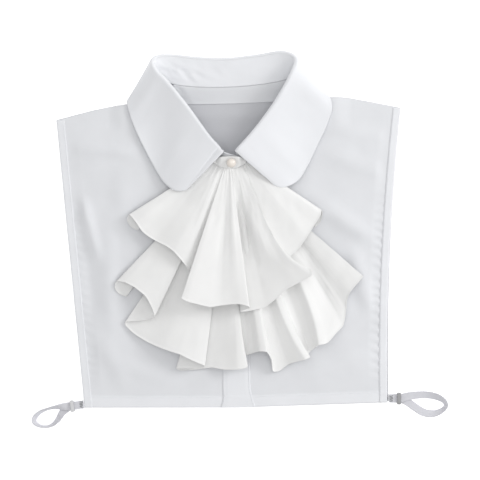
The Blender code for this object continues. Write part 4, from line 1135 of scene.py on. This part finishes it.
class MakeStitching(bpy.types.Operator):
    """Rows of machine stitches along the hems, the side bands, the placket and the straps' ends."""

    bl_idname = "collar.make_stitching"
    bl_label = "Make Stitching"

    def execute(self, context):
        thread = self.thread("cotton_thread", 1.0)
        grey = self.thread("grey_thread", 0.5)
        lift = LAY + settings()[0].shirt_wall / MM
        for side, inward in INWARD.items():
            grid = front_surface(side, HEM_COLUMNS)
            hem = np.array([read_line(line[0, 1] + HEM_DEPTH - STITCH_INSET, line[:, 1], line)
                            for line in grid.transpose(1, 0, 2)])
            hem = hem[np.abs(hem[:, 0]) > PLACKET_CLEAR]
            self.add_row(f"hem_stitches_{side}", hem, thread, f"front_{side}")
            edge = grid[3:-3, 0, :2] + (inward * (SIDE_BAND - BAND_INSET), 0.0)
            self.add_row(f"band_stitches_{side}", lay_on_fronts(edge, lift), thread, f"side_band_{side}")
            self.add_row(f"strap_stitches_{side}", self.zigzag(side), grey, f"strap_{side}")
        edges = whole_curve(PLACKET_EDGES, PLACKET_ROWS)[2:]
        for column, (side, inward) in enumerate(INWARD.items(), start=1):
            edge = np.stack([edges[:, column] + inward * STITCH_INSET, edges[:, 0]], axis=-1)
            path = lay_on_fronts(edge, lift + STITCH_LAY)
            self.add_row(f"placket_stitches_{side}", path, thread, "placket")
        return {"FINISHED"}

    def zigzag(self, side):
        """Turns of the zigzag that holds the upper end of a strap."""
        turns = np.arange(ZIGZAG_TURNS)
        start_x, start_y, _, low = STRAP_ROUTE[side][0]
        x = start_x - INWARD[side] * (ZIGZAG_START + ZIGZAG_STEP * turns)
        y = start_y + (STRAP_WIDTH / 2 - ZIGZAG_INSET) * (-1.0) ** turns
        return np.stack([x, y, low + STRAP_WALL + STITCH_LAY + 0 * x], axis=-1)

    def add_row(self, name, path, material, slot):
        """Stitches along a path, each a tube that swells to its middle and dips at its ends."""
        sizes = settings()[0]
        step, radius = sizes.stitch_length / MM, sizes.thread_width / MM / 2
        length = path_length(path)
        share = np.linspace(0.0, 1.0, STITCH_RINGS)
        swell = np.sqrt(np.sin(math.pi * np.clip(share, STITCH_END, 1 - STITCH_END)))
        places = np.arange(0.0, length[-1] - step, step)[:, None] + share * step * STITCH_SHARE
        line = read_line(places, length, path)
        line[..., 2] += radius * (STITCH_SWELL * swell - STITCH_SINK)
        along = unit(line[:, -1] - line[:, 0])[:, None]
        across = unit(np.cross(along, (0.0, 0.0, 1.0)))
        round_way = rounded(STITCH_SIDES, radius, radius, 1.0)
        ring = round_way[:, :1] * across + round_way[:, 1:] * np.cross(across, along)
        mesh = tube_mesh(name, line[:, :, None] + ring[:, None] * swell[:, None, None])
        mesh.materials.append(material)
        row = add_object(name, mesh)
        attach(row, "root")

    def thread(self, name, tone):
        """Cotton thread with a fine twist, in its colour times a tone."""
        sketch = NodeSketch(name)
        colour = [part * tone for part in settings()[1].thread]
        place = sketch.add("TexCoord").outputs["Object"]
        twist = sketch.add("TexWave", Vector=place, Scale=900.0, Distortion=0.6).outputs["Fac"]
        return sketch.finish(Base_Color=sketch.blend(twist, shade(colour, 0.9), shade(colour, 1.05)),
                             Roughness=0.6, Normal=sketch.bump(twist, 0.4, 0.00005), Sheen_Weight=0.1)


class SetStage(bpy.types.Operator):
    """Pale floor, soft light and the camera straight above the garment."""

    bl_idname = "collar.set_stage"
    bl_label = "Set Stage"

    def execute(self, context):
        stage = settings()[2]
        self.make_floor(stage)
        self.add_light("key_light", (1.6, 0.6, 0.95), 0.7, stage.key_power)
        self.add_light("fill_light", (0.0, 0.0, 2.6), 2.4, stage.fill_power)
        world = bpy.data.worlds.new("studio")
        context.scene.world = world
        world.use_nodes = True
        background = world.node_tree.nodes["Background"]
        background.inputs["Color"].default_value = (1.0, 1.0, 1.0, 1.0)
        background.inputs["Strength"].default_value = stage.room
        camera = bpy.data.cameras.new("camera")
        camera.lens = camera.sensor_width * stage.camera_height / stage.view_width
        holder = add_object("camera", camera)
        holder.location = (0.0, 0.0, stage.camera_height)
        context.scene.camera = holder
        context.scene.view_settings.view_transform = "Standard"
        return {"FINISHED"}

    def make_floor(self, stage):
        """Floor: a square plane just under the garment."""
        corners = np.array(((-1, -1, 0), (1, -1, 0), (1, 1, 0), (-1, 1, 0))) * FLOOR_HALF
        mesh = bpy.data.meshes.new("floor")
        mesh.from_pydata((corners - (0.0, 0.0, FLOOR_DROP)).tolist(), [], [(0, 1, 2, 3)])
        white = tuple(stage.floor_colour) + (1.0,)
        mesh.materials.append(NodeSketch("floor_paper").finish(
            Base_Color=white, Roughness=0.9, Specular_IOR_Level=0.0, Emission_Color=white,
            Emission_Strength=0.6))
        add_object("floor", mesh)

    def add_light(self, name, place, size, power):
        """Square area light that points at the middle of the garment."""
        light = bpy.data.lights.new(name, "AREA")
        light.size = size
        light.energy = power
        holder = add_object(name, light)
        holder.location = place
        holder.rotation_euler = (-holder.location).to_track_quat("-Z", "Y").to_euler()


class CollarPanel(bpy.types.Panel):
    """Sidebar panel that lists the garment's pieces."""

    bl_idname = "VIEW3D_PT_collar"
    bl_label = "Ruffled Collar"
    bl_space_type = "VIEW_3D"
    bl_region_type = "UI"
    bl_category = "Collar"

    def draw(self, context):
        for operator in OPERATORS:
            self.layout.operator(operator.bl_idname)
        for group in settings():
            for key in group.bl_rna.properties.keys():
                if key not in {"rna_type", "name"}:
                    self.layout.prop(group, key)


OPERATORS = (SetStage, MakePanels, MakeCollar, MakeJabot, MakeButton, MakeStraps, MakeStitching)
GROUPS = {"collar_sizes": ClothSizes, "collar_colours": ClothColours, "collar_stage": StageSettings}


def register():
    for group in GROUPS.values():
        bpy.utils.register_class(group)
    for name, group in GROUPS.items():
        setattr(bpy.types.Scene, name, bpy.props.PointerProperty(type=group))
    for item in OPERATORS + (CollarPanel,):
        bpy.utils.register_class(item)


def unregister():
    for item in reversed(OPERATORS + (CollarPanel,)):
        bpy.utils.unregister_class(item)
    for name, group in GROUPS.items():
        delattr(bpy.types.Scene, name)
        bpy.utils.unregister_class(group)


def main():
    """Makes the garment and its stage."""
    register()
    for operator in OPERATORS:
        group, action = operator.bl_idname.split(".")
        getattr(getattr(bpy.ops, group), action)()


if __name__ == "__main__":
    main()
